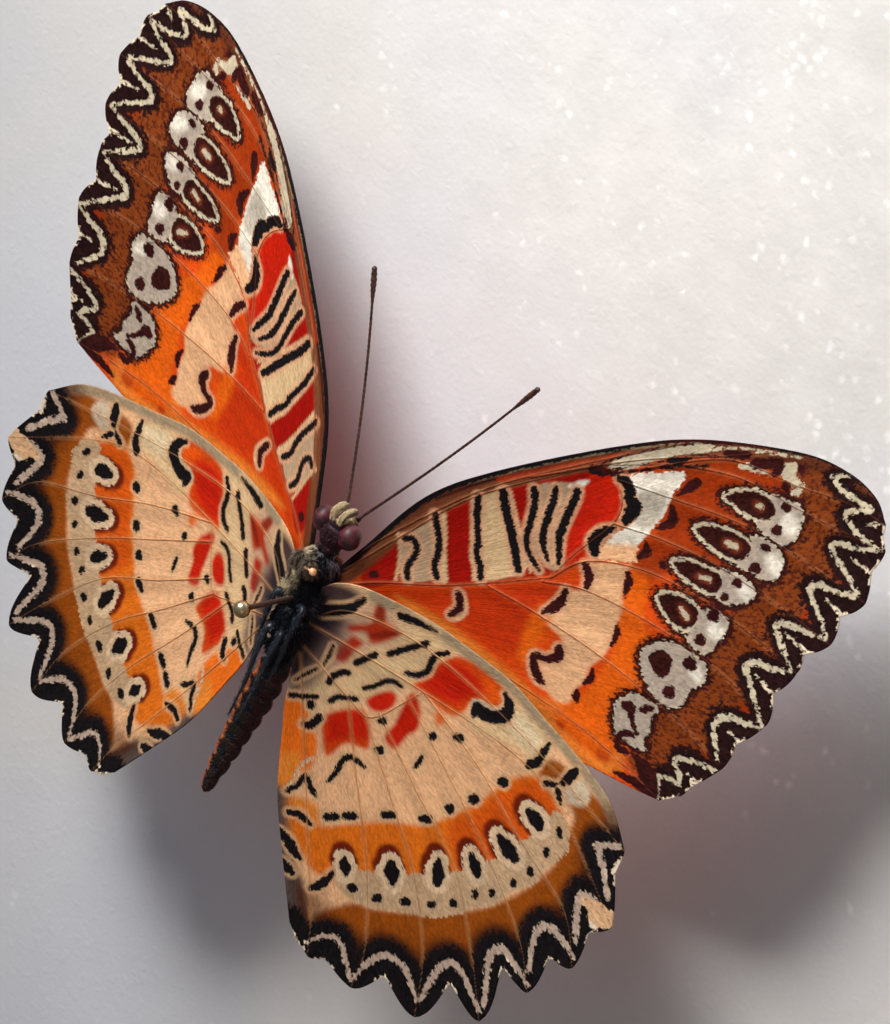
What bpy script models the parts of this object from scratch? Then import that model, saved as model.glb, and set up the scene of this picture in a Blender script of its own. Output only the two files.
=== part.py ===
"""Red lacewing butterfly, a set specimen pinned underside up on a foam board.

Metres, +Z up. The origin is the middle of the board's underside. The head points along +Y
and the underside of the wings faces +Z, so a name that ends in _right lies at +X.
"""

import math

import bmesh
import bpy
from mathutils import Matrix, Vector, geometry

MM = 0.001

# Driving sizes, in millimetres
GAP = 0.3                        # air that neighbours keep between them
BOARD = (140.0, 134.0, 12.0)
BOARD_EDGE = 0.8
BODY_AHEAD = -2.0                # body centre, along Y from the middle of the board
BODY_HEIGHT = 29.0               # body centre above the underside of the board
# Height of the wings: they fall from the body and curl up again towards their margins
WING_ROOT = 2.2                  # from the middle of the body
WING_RISE = 0.4
WING_FALL = 0.335                # per millimetre outwards
WING_CURL = 0.0066
WING_CUP = 0.0026                # rise ahead of and behind the body centre
WING_CUP_LOSS = 0.00013          # of it, per millimetre outwards
WINGS_APART = 0.65               # hindwing above and forewing below their common surface
MEMBRANE = 0.5
VEIN_RIDGE = 0.86                # thickness through a main vein
VEIN_HALF_WIDTH = (0.34, 0.2)    # at the root and at the margin
MARGIN_STEPS = 6                 # from one vein tip to the next, even so that the notch is one
NOTCH_SHAPE = (0.85, 1.2)        # forewing, hindwing: under 1 is a cusp, above 1 is open

# Body sections: (distance ahead of the body centre, radius)
THORAX = [(-4.9, 1.35), (-4.4, 1.7), (-3.0, 2.05), (-0.5, 2.25), (2.0, 2.2), (3.8, 1.9), (4.8, 1.55), (5.35, 1.15)]
HEAD = [(5.65, 0.8), (6.1, 1.1), (6.7, 1.3), (7.4, 1.35), (8.0, 1.15), (8.4, 0.75), (8.6, 0.3)]
ABDOMEN_LENGTH = 12.3
ABDOMEN_RADIUS = 1.5
ABDOMEN_RINGS = 8
ABDOMEN_LIFT = 2.5               # rise of the tip above the first ring
THORAX_CENTRE_Z = 0.3
THORAX_DEEPER = 1.02             # depth over width
HEAD_CENTRE_Z = 0.25
ABDOMEN_CENTRE_Z = 0.3

EYE_PLACE = (1.4, 7.6, 0.3)
EYE_SIZE = (0.95, 1.1, 1.05)     # half sizes along X, Y and Z
ANTENNA_ROOT = (0.55, 8.5, -0.95)
ANTENNA_REACH = (8.45, 17.4, -2.75)
ANTENNA_BOW = (0.1, 0.0, -0.6)   # offset at mid length
ANTENNA_RADIUS = 0.25
CLUB_RADIUS = 0.45
CLUB_PART = 0.16                 # share of the length that is club
PALP_POINTS = [(0.46, 8.95, 0.95), (0.5, 9.25, 0.5), (0.52, 9.35, 0.05), (0.48, 9.25, -0.45)]
PALP_RADII = [0.26, 0.34, 0.32, 0.16]

PIN_AHEAD = 1.25
PIN_BALL_HEIGHT = 8.6            # centre of the pin's ball above the body centre
PIN_BALL_RADIUS = 0.7
PIN_RADIUS = 0.25
PIN_POINT_HEIGHT = 2.2           # end of the point above the underside of the board
PIN_TAPER = 3.0
BORE_RADIUS = PIN_RADIUS + GAP

# Legs: (x, y) of the root on the thorax, then knee, end of the shin and end of the foot.
# The foreleg is folded double, so its knee takes two points.
LEGS = {
    "foreleg": ((0.5, 4.0), (0.62, 5.25, 2.7), (0.58, 5.25, 3.68), (0.5, 4.2, 3.65), (0.42, 3.1, 3.4)),
    "midleg": ((1.25, 1.0), (1.42, -0.8, 2.8), (1.3, -3.6, 2.42), (1.05, -6.3, 2.3)),
    "hindleg": ((0.58, -1.9), (0.6, -3.8, 3.0), (0.5, -7.2, 2.9), (0.42, -10.2, 3.3)),
}
LEG_RADII = (0.25, 0.27, 0.25, 0.2)
COXA = 0.5                       # length of the joint that stands out of the thorax
LEG_BEND = 0.46                  # of each leg on either side of a joint is taken up by its bend

# Wings in plan, from the body centre: X outwards, Y ahead
FOREWING_COSTA = [(1.5, 4.9), (2.6, 7.5), (5.4, 13.9), (9.7, 19.0), (17.5, 26.1), (23.0, 30.1),
                  (30.1, 33.4), (34.1, 34.2), (37.0, 33.8), (38.7, 32.6)]
FOREWING_TIPS = [(38.7, 32.6), (39.8, 30.9), (40.5, 26.9), (39.7, 22.7), (38.4, 19.3), (38.3, 14.6),
                 (36.7, 9.3), (34.6, 5.2), (33.1, 3.7)]
FOREWING_NOTCHES = [(39.0, 31.7), (39.6, 29.1), (39.2, 24.9), (38.1, 20.8), (37.5, 16.8), (36.8, 11.6),
                    (35.2, 6.6), (33.9, 4.5)]
FOREWING_INNER = [(33.1, 3.7), (29.0, 2.7), (19.6, 1.0), (9.8, 0.1), (1.5, 0.3)]
FOREWING_VEINS = {
    "Sc": [(2.0, 5.6), (3.9, 9.3), (9.1, 16.8), (14.4, 22.2), (19.3, 26.7), (22.3, 29.4)],
    "R1": [(12.2, 20.0), (18.9, 25.7), (24.6, 29.6), (28.5, 32.4)],
    "R4": [(20.0, 25.7), (25.5, 29.9), (31.4, 31.2), (35.0, 32.2), (38.7, 32.6)],
    "R5": [(22.6, 27.6), (27.1, 29.2), (33.0, 29.8), (39.8, 30.9)],
    "R": [(1.9, 4.8), (5.0, 10.1), (8.7, 15.9), (13.9, 21.2), (17.4, 24.3), (22.6, 27.6)],
    "M1": [(18.6, 23.7), (23.0, 24.8), (30.2, 26.4), (40.5, 26.9)],
    "M2": [(19.6, 20.4), (23.7, 21.5), (29.8, 22.4), (39.7, 22.7)],
    "cell end": [(17.4, 24.3), (19.3, 22.7), (19.6, 20.4), (17.9, 16.6), (16.8, 13.5)],
    "M3": [(16.8, 13.5), (19.1, 16.6), (24.1, 18.7), (30.8, 19.4), (38.4, 19.3)],
    "CuA1": [(16.3, 12.9), (20.0, 14.4), (26.8, 15.3), (33.2, 15.4), (38.3, 14.6)],
    "CuA2": [(12.6, 10.1), (18.4, 10.4), (25.5, 10.4), (32.1, 10.0), (36.7, 9.3)],
    "Cu": [(2.0, 3.5), (5.1, 5.6), (10.1, 8.5), (16.8, 13.5)],
    "2A": [(2.0, 2.6), (9.8, 3.9), (17.6, 4.3), (25.9, 4.4), (33.1, 3.7)],
}

HINDWING_COSTA = [(1.5, 3.1), (2.6, 4.2), (4.9, 5.0), (10.2, 5.4), (13.7, 5.2), (18.3, 4.8), (22.2, 3.8),
                  (27.1, 2.6), (30.3, 1.4), (33.0, -0.9)]
HINDWING_TIPS = [(33.0, -0.9), (35.0, -6.8), (33.4, -12.1), (30.8, -16.6), (28.1, -21.6), (23.0, -25.0),
                 (17.2, -26.1), (13.0, -25.8), (10.5, -24.0)]
HINDWING_NOTCHES = [(33.2, -3.0), (33.4, -8.6), (31.2, -12.8), (27.9, -16.3), (24.5, -20.5), (19.3, -23.5),
                    (14.4, -25.2), (11.6, -25.1)]
HINDWING_INNER = [(10.5, -24.0), (7.4, -18.8), (5.0, -14.4), (3.1, -9.0), (2.5, -7.2), (1.8, -3.8)]
HINDWING_VEINS = {
    "Sc+R1": [(2.1, 0.8), (4.5, 2.6), (10.7, 3.2), (19.6, 1.8), (26.9, 0.3), (33.0, -0.9)],
    "Rs": [(2.1, -0.2), (6.6, -0.2), (11.9, -0.2), (21.2, -0.2), (26.5, -1.7), (35.0, -6.8)],
    "M1": [(12.1, -0.2), (18.8, -3.0), (24.5, -6.0), (30.7, -8.6), (33.4, -12.1)],
    "M2": [(11.3, -1.5), (17.1, -5.3), (22.9, -9.1), (28.3, -13.3), (30.8, -16.6)],
    "M3": [(9.6, -3.9), (15.0, -7.9), (20.7, -11.7), (25.3, -17.4), (28.1, -21.6)],
    "CuA1": [(8.8, -4.8), (13.1, -9.4), (17.7, -14.1), (21.4, -19.8), (23.0, -25.0)],
    "CuA2": [(6.8, -4.1), (10.2, -9.9), (14.2, -16.3), (16.9, -22.5), (17.2, -26.1)],
    "cell": [(2.1, -2.2), (6.8, -4.1), (9.2, -4.6), (11.3, -1.5), (12.1, -0.2)],
    "2A": [(2.1, -2.9), (4.8, -8.6), (8.7, -16.5), (11.7, -22.3), (13.0, -25.8)],
}

SOLIDS = bpy.data.collections.new("red lacewing butterfly specimen")
CUTTERS = bpy.data.collections.new("cutters")


def clear_scene():
    for old in list(bpy.data.objects):
        bpy.data.objects.remove(old, do_unlink=True)
    for collection in (SOLIDS, CUTTERS):
        bpy.context.scene.collection.children.link(collection)


def material(name, colour, roughness, metallic=0.0):
    made = bpy.data.materials.new(name)
    made.use_nodes = True
    shader = made.node_tree.nodes["Principled BSDF"]
    shader.inputs["Base Color"].default_value = (*colour, 1)
    shader.inputs["Roughness"].default_value = roughness
    shader.inputs["Metallic"].default_value = metallic
    return made


def body_point(x, y, z):
    """A point given in millimetres from the body centre, in metres from the origin."""
    return Vector((x, y + BODY_AHEAD, z + BODY_HEIGHT)) * MM


def smooth_line(points, steps):
    """A Catmull-Rom curve through a few points, with this many steps from each to the next."""
    given = [Vector(point) for point in points]
    ends = [2 * given[0] - given[1]] + given + [2 * given[-1] - given[-2]]
    line = []
    for i in range(1, len(ends) - 2):
        before, start, end, after = ends[i - 1:i + 3]
        for step in range(steps):
            t = step / steps
            line.append(0.5 * (2 * start + (end - before) * t
                               + (2 * before - 5 * start + 4 * end - after) * t ** 2
                               + (3 * start - before - 3 * end + after) * t ** 3))
    return line + [given[-1]]


def with_round_corners(points, reach, steps):
    """The line through the points, with each corner rounded over this reach on either side of it."""
    line = [points[0]]
    for before, corner, after in zip(points, points[1:], points[2:]):
        start = corner + (before - corner).normalized() * reach
        end = corner + (after - corner).normalized() * reach
        for step in range(steps + 1):
            t = step / steps
            line.append(start * (1 - t) ** 2 + corner * (2 * t * (1 - t)) + end * t ** 2)
    return line + [points[-1]]


def finish(obj, finish_material, smooth=True):
    SOLIDS.objects.link(obj)
    obj.data.materials.append(finish_material)
    if smooth and obj.type == "MESH":
        obj.data.shade_smooth()
    return obj


def hide_cutter(obj):
    CUTTERS.objects.link(obj)
    obj.hide_render = True
    obj.display_type = "WIRE"
    return obj


def cut(obj, cutter):
    modifier = obj.modifiers.new("cut", "BOOLEAN")
    modifier.operation = "DIFFERENCE"
    modifier.object = cutter


def turned(name, profile, sides):
    """A body turned about its own Z axis from (height, radius) pairs that rise along the axis."""
    mesh = bpy.data.meshes.new(name)
    falling = [(0.0, profile[-1][0])] + [(r, h) for h, r in reversed(profile)] + [(0.0, profile[0][0])]
    points = [(r * MM, 0, h * MM) for r, h in falling]
    mesh.from_pydata(points, [(i, i + 1) for i in range(len(points) - 1)], [])
    obj = bpy.data.objects.new(name, mesh)
    screw = obj.modifiers.new("turn", "SCREW")
    screw.steps = sides
    screw.render_steps = sides
    screw.use_merge_vertices = True
    screw.merge_threshold = 1e-6
    return obj


def lay_along_body(obj, centre_z, depth=1.0, tilt=0.0):
    """Turns a body made about Z so that its axis runs ahead along Y, at this height."""
    turn = Matrix.Rotation(-math.pi / 2 + tilt, 4, "X")
    obj.matrix_world = (Matrix.Translation(body_point(0, 0, centre_z))
                        @ Matrix.Diagonal((1, 1, depth, 1)) @ turn)
    return obj


def tube(name, line, radii, finish_material):
    """A round bar along the line, with its radius read from a few values spread evenly along it."""
    curve = bpy.data.curves.new(name, "CURVE")
    curve.dimensions = "3D"
    curve.bevel_depth = MM
    curve.bevel_resolution = 2
    curve.use_fill_caps = True
    spline = curve.splines.new("POLY")
    spline.points.add(len(line) - 1)
    for i, (point, place) in enumerate(zip(spline.points, line)):
        along = i / (len(line) - 1) * (len(radii) - 1)
        low = min(int(along), len(radii) - 2)
        point.co = (*body_point(*place), 1)
        point.radius = radii[low] + (radii[low + 1] - radii[low]) * (along - low)
    return finish(bpy.data.objects.new(name, curve), finish_material)


def make_board(hole):
    bpy.ops.mesh.primitive_cube_add(size=1)
    board = bpy.context.active_object
    board.users_collection[0].objects.unlink(board)
    board.name = "foam_board"
    size = Vector(BOARD) * MM
    board.data.transform(Matrix.Translation((0, 0, size.z / 2)) @ Matrix.Diagonal((*size, 1)))
    edge = board.modifiers.new("edge", "BEVEL")
    edge.width = BOARD_EDGE * MM
    edge.segments = 2
    cut(board, hole)
    finish(board, material("white foam", (0.86, 0.87, 0.9), 0.7), smooth=False)


def pin_hole(name, bottom, top):
    """A round cutter on the pin's axis, between two heights above the underside of the board."""
    mesh = bpy.data.meshes.new(name)
    shape = bmesh.new()
    bmesh.ops.create_cone(shape, cap_ends=True, segments=12, radius1=BORE_RADIUS * MM,
                          radius2=BORE_RADIUS * MM, depth=(top - bottom) * MM)
    shape.to_mesh(mesh)
    shape.free()
    hole = bpy.data.objects.new(name, mesh)
    hole.location = Vector((0, PIN_AHEAD + BODY_AHEAD, (top + bottom) / 2)) * MM
    return hide_cutter(hole)


def make_pin():
    """A ball, a shaft and a tapered point, made about Z and stood on its place."""
    ball = BODY_HEIGHT + PIN_BALL_HEIGHT - PIN_POINT_HEIGHT
    meets = math.asin(PIN_RADIUS / PIN_BALL_RADIUS)
    arc = [meets + (math.pi - meets) * i / 8 for i in range(8)]
    profile = [(0.0, 0.04), (PIN_TAPER, PIN_RADIUS)]
    profile += [(ball - PIN_BALL_RADIUS * math.cos(a), PIN_BALL_RADIUS * math.sin(a)) for a in arc]
    profile += [(ball + PIN_BALL_RADIUS, 0.02)]
    pin = turned("pin", profile, 16)
    pin.location = Vector((0, PIN_AHEAD + BODY_AHEAD, PIN_POINT_HEIGHT)) * MM
    finish(pin, material("pin steel", (0.75, 0.74, 0.7), 0.2, 1.0))


def make_thorax(bore):
    thorax = lay_along_body(turned("thorax", THORAX, 24), THORAX_CENTRE_Z, THORAX_DEEPER)
    cut(thorax, bore)
    finish(thorax, material("thorax scales", (0.02, 0.025, 0.04), 0.6))


def thorax_clearance():
    """The thorax grown by the gap, which takes the wing roots back to its flanks."""
    first, last = THORAX[0], THORAX[-1]
    grown = [(first[0] - GAP, first[1])] + [(y, r + GAP) for y, r in THORAX] + [(last[0] + GAP, last[1])]
    return hide_cutter(lay_along_body(turned("thorax clearance", grown, 24), THORAX_CENTRE_Z, THORAX_DEEPER))


def make_head():
    """The head capsule with two hollows in which the eyes sit a gap away from it."""
    head = lay_along_body(turned("head", HEAD, 20), HEAD_CENTRE_Z)
    sockets = {}
    for side, word in ((1, "right"), (-1, "left")):
        sockets[side] = hide_cutter(eye_ball(f"socket {word}", side, GAP))
        cut(head, sockets[side])
    finish(head, material("head scales", (0.08, 0.05, 0.05), 0.6))
    return sockets


def eye_ball(name, side, grow):
    mesh = bpy.data.meshes.new(name)
    shape = bmesh.new()
    bmesh.ops.create_uvsphere(shape, u_segments=16, v_segments=10, radius=1)
    bmesh.ops.scale(shape, vec=[(half + grow) * MM for half in EYE_SIZE], verts=shape.verts)
    shape.to_mesh(mesh)
    shape.free()
    ball = bpy.data.objects.new(name, mesh)
    x, y, z = EYE_PLACE
    ball.location = body_point(side * x, y, z)
    return ball


def make_abdomen():
    """A spindle of rings, each a little narrower at its joint, that rises towards the tip."""
    profile = []
    stations = ABDOMEN_RINGS * 3
    for i in range(stations + 1):
        t = i / stations
        spindle = (1 - 0.62 * t ** 3.2) * (0.88 + 0.12 * math.sin(math.pi * min(1, 2 * t)))
        waist = 0.955 if i % 3 == 0 else 1.0
        tip = math.sqrt(max(0.0, 1 - max(0.0, (t - 0.9) / 0.1) ** 2))
        profile.append((ABDOMEN_LENGTH * t, max(0.25, ABDOMEN_RADIUS * spindle * waist * tip)))
    abdomen = turned("abdomen", profile, 18)
    rise = math.atan2(ABDOMEN_LIFT, ABDOMEN_LENGTH)
    start = body_point(0, THORAX[0][0] - GAP - 0.05, ABDOMEN_CENTRE_Z)
    abdomen.matrix_world = Matrix.Translation(start) @ Matrix.Rotation(math.pi / 2 - rise, 4, "X")
    finish(abdomen, material("abdomen scales", (0.03, 0.02, 0.02), 0.6))


def make_feelers(side, word):
    """An antenna that swells to a club, and the short palp beside the face."""
    root = Vector(ANTENNA_ROOT)
    reach = Vector(ANTENNA_REACH)
    stations = 18
    line = []
    for i in range(stations + 1):
        t = i / stations
        place = root + reach * t + Vector(ANTENNA_BOW) * math.sin(math.pi * t)
        line.append((side * place.x, place.y, place.z))
    swell = [0 if i < stations * (1 - CLUB_PART) else 1 for i in range(stations + 1)]
    radii = [ANTENNA_RADIUS + (CLUB_RADIUS - ANTENNA_RADIUS) * swell[i] for i in range(stations + 1)]
    radii[-1] = ANTENNA_RADIUS
    tube(f"antenna_{word}", line, radii, material("antenna", (0.05, 0.03, 0.02), 0.5))
    palp = [(side * x, y, z) for x, y, z in PALP_POINTS]
    tube(f"palp_{word}", smooth_line(palp, 2), PALP_RADII, material("palp hair", (0.7, 0.6, 0.42), 0.8))


def thorax_underside(x, y):
    """A point on the thorax's ventral face, and the direction that it faces."""
    for (y0, r0), (y1, r1) in zip(THORAX, THORAX[1:]):
        if y0 <= y <= y1:
            radius = r0 + (r1 - r0) * (y - y0) / (y1 - y0)
    height = math.sqrt(radius ** 2 - x ** 2)
    face = Vector((x, 0, height / THORAX_DEEPER)).normalized()
    return Vector((x, y, THORAX_CENTRE_Z + height * THORAX_DEEPER)), face


def make_leg(kind, side, word):
    (x, y), *joints = LEGS[kind]
    surface, face = thorax_underside(x, y)
    start = surface + face * GAP * 1.1
    bent = with_round_corners([start, start + face * COXA] + [Vector(joint) for joint in joints], LEG_BEND, 4)
    line = [(side * p.x, p.y, p.z) for p in bent]
    tube(f"{kind}_{word}", line, LEG_RADII, material("leg scales", (0.03, 0.035, 0.05), 0.5))


def scalloped(tips, notches, roundness):
    """The outer margin: a rounded lobe at each vein tip, and a narrow notch between each two."""
    edge = []
    for tip, after, notch in zip(tips, tips[1:], notches):
        start, low = Vector(tip), Vector(notch)
        reach = Vector(after) - start
        part = (low - start).dot(reach) / reach.length_squared
        for step in range(MARGIN_STEPS):
            along = step / MARGIN_STEPS
            t = 2 * part * along if along < 0.5 else part + (2 * along - 1) * (1 - part)
            dip = 1 - abs(math.cos(math.pi * along)) ** roundness
            edge.append(start + reach * t + (low - start - reach * part) * dip)
    return edge + [Vector(tips[-1])]


def vein_rails(points):
    """A vein's middle line and its two flanks, each as a list of points."""
    middle = smooth_line(points, 3)
    rails = [middle, [], []]
    for i, point in enumerate(middle[:-1]):
        ahead = (middle[i + 1] - middle[max(i - 1, 0)]).normalized()
        across = Vector((-ahead.y, ahead.x))
        half = vein_half_width(i / (len(middle) - 1))
        rails[1].append(point + across * half)
        rails[2].append(point - across * half)
    return rails


def vein_half_width(t):
    root, margin = VEIN_HALF_WIDTH
    return root + (margin - root) * t


def nearest_vein(point, middles):
    """How high the vein stands here: 1 on its middle line, falling to 0 at its flanks."""
    height = 0.0
    for middle in middles:
        for i, (start, end) in enumerate(zip(middle, middle[1:])):
            near, part = geometry.intersect_point_line(point, start, end)
            if not -0.02 <= part <= 1.02:
                continue
            half = vein_half_width((i + part) / (len(middle) - 1))
            height = max(height, 1 - (Vector(near[:2]) - point).length / half)
    return max(0.0, min(1.0, height))


def wing_height(x, y):
    """Height of the surface that the wings share, above the body centre."""
    out = abs(x) - WING_ROOT
    return WING_RISE - WING_FALL * out + WING_CURL * out ** 2 + (WING_CUP - WING_CUP_LOSS * out) * y ** 2


def wing_mesh(name, side, lift, outline, veins):
    """The curved sheet of one wing, split along its outline and its veins."""
    points = [Vector((side * p.x, p.y)) for p in outline]
    edges = [(i, (i + 1) % len(points)) for i in range(len(points))]
    middles = []
    for vein in veins.values():
        rails = vein_rails([(side * x, y) for x, y in vein])
        middles.append(rails[0])
        for rail in rails:
            first = len(points)
            points += rail
            edges += [(first + i, first + i + 1) for i in range(len(rail) - 1)]
    flat, _, faces, *_ = geometry.delaunay_2d_cdt(points, edges, [], 1, 1e-4)
    mesh = bpy.data.meshes.new(name)
    sheet = [Vector((p.x, p.y, wing_height(p.x, p.y) + lift)) * MM for p in flat]
    mesh.from_pydata(sheet, [], [list(face) for face in faces])
    return mesh, [nearest_vein(p, middles) for p in flat]


def make_wing(kind, side, word, lift, outline, veins, cutters, finish_material):
    mesh, heights = wing_mesh(f"{kind}_{word}", side, lift, outline, veins)
    wing = bpy.data.objects.new(f"{kind}_{word}", mesh)
    ridge = wing.vertex_groups.new(name="vein ridge")
    for index, height in enumerate(heights):
        ridge.add([index], height, "REPLACE")
    wing.location = body_point(0, 0, 0)
    solid = wing.modifiers.new("thickness", "SOLIDIFY")
    solid.thickness = VEIN_RIDGE * MM
    solid.offset = 0
    solid.vertex_group = ridge.name
    solid.thickness_vertex_group = MEMBRANE / VEIN_RIDGE
    for cutter in cutters:
        cut(wing, cutter)
    finish(wing, finish_material, smooth=False)


def forewing_outline():
    return (smooth_line(FOREWING_COSTA, 3)[:-1] + scalloped(FOREWING_TIPS, FOREWING_NOTCHES, NOTCH_SHAPE[0])[:-1]
            + smooth_line(FOREWING_INNER, 3))


def hindwing_outline():
    return (smooth_line(HINDWING_COSTA, 3)[:-1] + scalloped(HINDWING_TIPS, HINDWING_NOTCHES, NOTCH_SHAPE[1])[:-1]
            + smooth_line(HINDWING_INNER, 3))


def make_wings(sockets):
    clearance = thorax_clearance()
    fore = material("forewing scales", (0.75, 0.3, 0.08), 0.7)
    hind = material("hindwing scales", (0.8, 0.45, 0.2), 0.7)
    for side, word in ((1, "right"), (-1, "left")):
        make_wing("forewing", side, word, -WINGS_APART, forewing_outline(), FOREWING_VEINS,
                  (clearance, sockets[side]), fore)
        make_wing("hindwing", side, word, WINGS_APART, hindwing_outline(), HINDWING_VEINS, (clearance,), hind)


def main():
    clear_scene()
    through = pin_hole("pin bore", BODY_HEIGHT - 6, BODY_HEIGHT + 6)
    blind = pin_hole("blind hole", PIN_POINT_HEIGHT - 2 * GAP, BOARD[2] + 2)
    make_board(blind)
    make_pin()
    make_thorax(through)
    sockets = make_head()
    make_abdomen()
    for side, word in ((1, "right"), (-1, "left")):
        eye = eye_ball(f"eye_{word}", side, 0)
        finish(eye, material("eye", (0.12, 0.03, 0.05), 0.3))
        make_feelers(side, word)
        for kind in LEGS:
            make_leg(kind, side, word)
    make_wings(sockets)


main()
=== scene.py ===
# %% [markdown]
# # A set red lacewing butterfly
# A museum shows this butterfly pinned with the underside of its wings up, over a board of white
# foam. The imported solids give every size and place. This lesson dresses them: wings with their
# scales, a furred body, faceted eyes, ringed antennae, jointed legs, a steel pin and the foam.

# %% Load the solids
import math

import bpy
import numpy as np
from mathutils import Matrix, Vector


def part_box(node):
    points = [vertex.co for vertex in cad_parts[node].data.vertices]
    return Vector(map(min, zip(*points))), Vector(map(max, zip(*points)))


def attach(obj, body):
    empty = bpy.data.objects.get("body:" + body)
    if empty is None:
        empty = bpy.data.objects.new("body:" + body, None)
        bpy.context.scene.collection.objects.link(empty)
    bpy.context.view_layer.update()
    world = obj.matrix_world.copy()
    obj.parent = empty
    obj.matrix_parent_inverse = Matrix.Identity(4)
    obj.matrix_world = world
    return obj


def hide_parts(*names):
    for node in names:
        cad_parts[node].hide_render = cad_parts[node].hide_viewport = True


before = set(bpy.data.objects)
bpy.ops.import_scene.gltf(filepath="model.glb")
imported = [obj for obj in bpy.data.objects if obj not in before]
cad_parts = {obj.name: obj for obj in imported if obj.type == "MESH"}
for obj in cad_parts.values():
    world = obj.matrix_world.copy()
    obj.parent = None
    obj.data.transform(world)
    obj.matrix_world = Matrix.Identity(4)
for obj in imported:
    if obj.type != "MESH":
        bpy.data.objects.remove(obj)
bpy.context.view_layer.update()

# %% [markdown]
# Every size below is in millimetres from the middle of the body, as on a drawing of an insect. One
# function turns such a place into metres in the frame of the solids.

# %% Places on the body
MM = 0.001
BODY_CENTRE = Vector((0.0, -2.0, 29.0))
RANDOM = np.random.default_rng(11)


def placed(points):
    """Places in millimetres from the body centre, as metres in the scene."""
    return (np.asarray(points, float) + np.array(BODY_CENTRE)) * MM


def smooth_line(points, steps):
    """A Catmull-Rom curve through a few points, with this many steps from each to the next."""
    given = np.asarray(points, float)
    ends = np.vstack([2 * given[0] - given[1], given, 2 * given[-1] - given[-2]])
    line = []
    for before, start, end, after in zip(ends, ends[1:], ends[2:], ends[3:]):
        for t in np.arange(steps) / steps:
            line.append(0.5 * (2 * start + (end - before) * t
                               + (2 * before - 5 * start + 4 * end - after) * t ** 2
                               + (3 * start - before - 3 * end + after) * t ** 3))
    return np.array(line + [given[-1]])


def points_of(mesh):
    """The places of a mesh's points, in millimetres from the body centre."""
    flat = np.empty(len(mesh.vertices) * 3)
    mesh.vertices.foreach_get("co", flat)
    return flat.reshape(-1, 3) / MM - np.array(BODY_CENTRE)


def added(name, data):
    """A new object of the scene with this name and data."""
    piece = bpy.data.objects.new(name, data)
    bpy.context.scene.collection.objects.link(piece)
    return piece


def deselect():
    bpy.ops.object.select_all(action="DESELECT")


def show_only(*pieces):
    """Selects some pieces and makes the first the active one, so that an operator acts on them alone."""
    deselect()
    for piece in pieces:
        piece.select_set(True)
    bpy.context.view_layer.objects.active = pieces[0]


def joined(name, *pieces):
    show_only(*pieces)
    bpy.ops.object.join()
    pieces[0].name = name
    return pieces[0]


def fix_transform():
    bpy.ops.object.transform_apply(location=True, rotation=True, scale=True)


def modified(piece, kind, **settings):
    """Adds a modifier with these settings to a piece, and applies it."""
    modifier = piece.modifiers.new(kind.lower(), kind)
    for name, value in settings.items():
        setattr(modifier, name, value)
    show_only(piece)
    bpy.ops.object.modifier_apply(modifier=modifier.name)


def tubes(name, lines, ring):
    """Round tubes as one mesh, each along a line in millimetres with a radius at every point."""
    curve = bpy.data.curves.new(name, "CURVE")
    curve.dimensions = "3D"
    curve.bevel_depth = MM
    curve.bevel_resolution = ring
    curve.use_fill_caps = True
    for line, radii in lines:
        spline = curve.splines.new("POLY")
        spline.points.add(len(line) - 1)
        for point, place, radius in zip(spline.points, placed(line), radii):
            point.co = (*place, 1)
            point.radius = radius
    show_only(added(name, curve))
    bpy.ops.object.convert(target="MESH")
    return bpy.context.active_object


print("body centre in metres:", [round(v * MM, 4) for v in BODY_CENTRE])

# %% [markdown]
# The photograph looks steeply down on the board, turned a little round it, through a long lens. The
# camera stands where one view fits all four wings, the antennae, the pin and the abdomen at once.

# %% Camera
CAMERA_PLACE = (0.1508, 0.1448, 0.2835)
CAMERA_TURN = (-8.9, 36.5, 28.1)
LENS = 146.2
SENSOR = 36
PHOTO_SIZE = (890, 1024)

camera_data = bpy.data.cameras.new("camera")
camera_data.lens = LENS
camera_data.sensor_width = SENSOR
camera = added("camera", camera_data)
camera.location = CAMERA_PLACE
camera.rotation_euler = [math.radians(a) for a in CAMERA_TURN]
bpy.context.scene.camera = camera
bpy.context.view_layer.update()
FOCAL_PIXELS = LENS / SENSOR * PHOTO_SIZE[1]
CAMERA_AXES = np.array(camera.matrix_world.to_3x3())
CAMERA_MM = np.array(CAMERA_PLACE) / MM - np.array(BODY_CENTRE)
print("one millimetre at the body is", round(FOCAL_PIXELS / np.linalg.norm(CAMERA_MM), 1), "pixels")

# %% [markdown]
# The four wings share one gently cupped surface. The hindwing lies a little above it and the
# forewing a little below, as in the solids. A mark that is read in the photograph, in pixels of its
# 890 by 1024 frame, is carried along its line of sight until it meets the wing. From there on it is
# a place on the wing, in millimetres, and looks right from any side.

# %% The surface of the wings
WING_ROOT = 2.2
WING_RISE = 0.4
WING_FALL = 0.335
WING_CURL = 0.0066
WING_CUP = 0.0026
WING_CUP_LOSS = 0.00013
WINGS_APART = 0.65
SIGHT_STEPS = 40


def wing_height(x, y):
    """Height of the surface that the wings share, above the body centre."""
    out = np.abs(x) - WING_ROOT
    return WING_RISE - WING_FALL * out + WING_CURL * out ** 2 + (WING_CUP - WING_CUP_LOSS * out) * y ** 2


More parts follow.
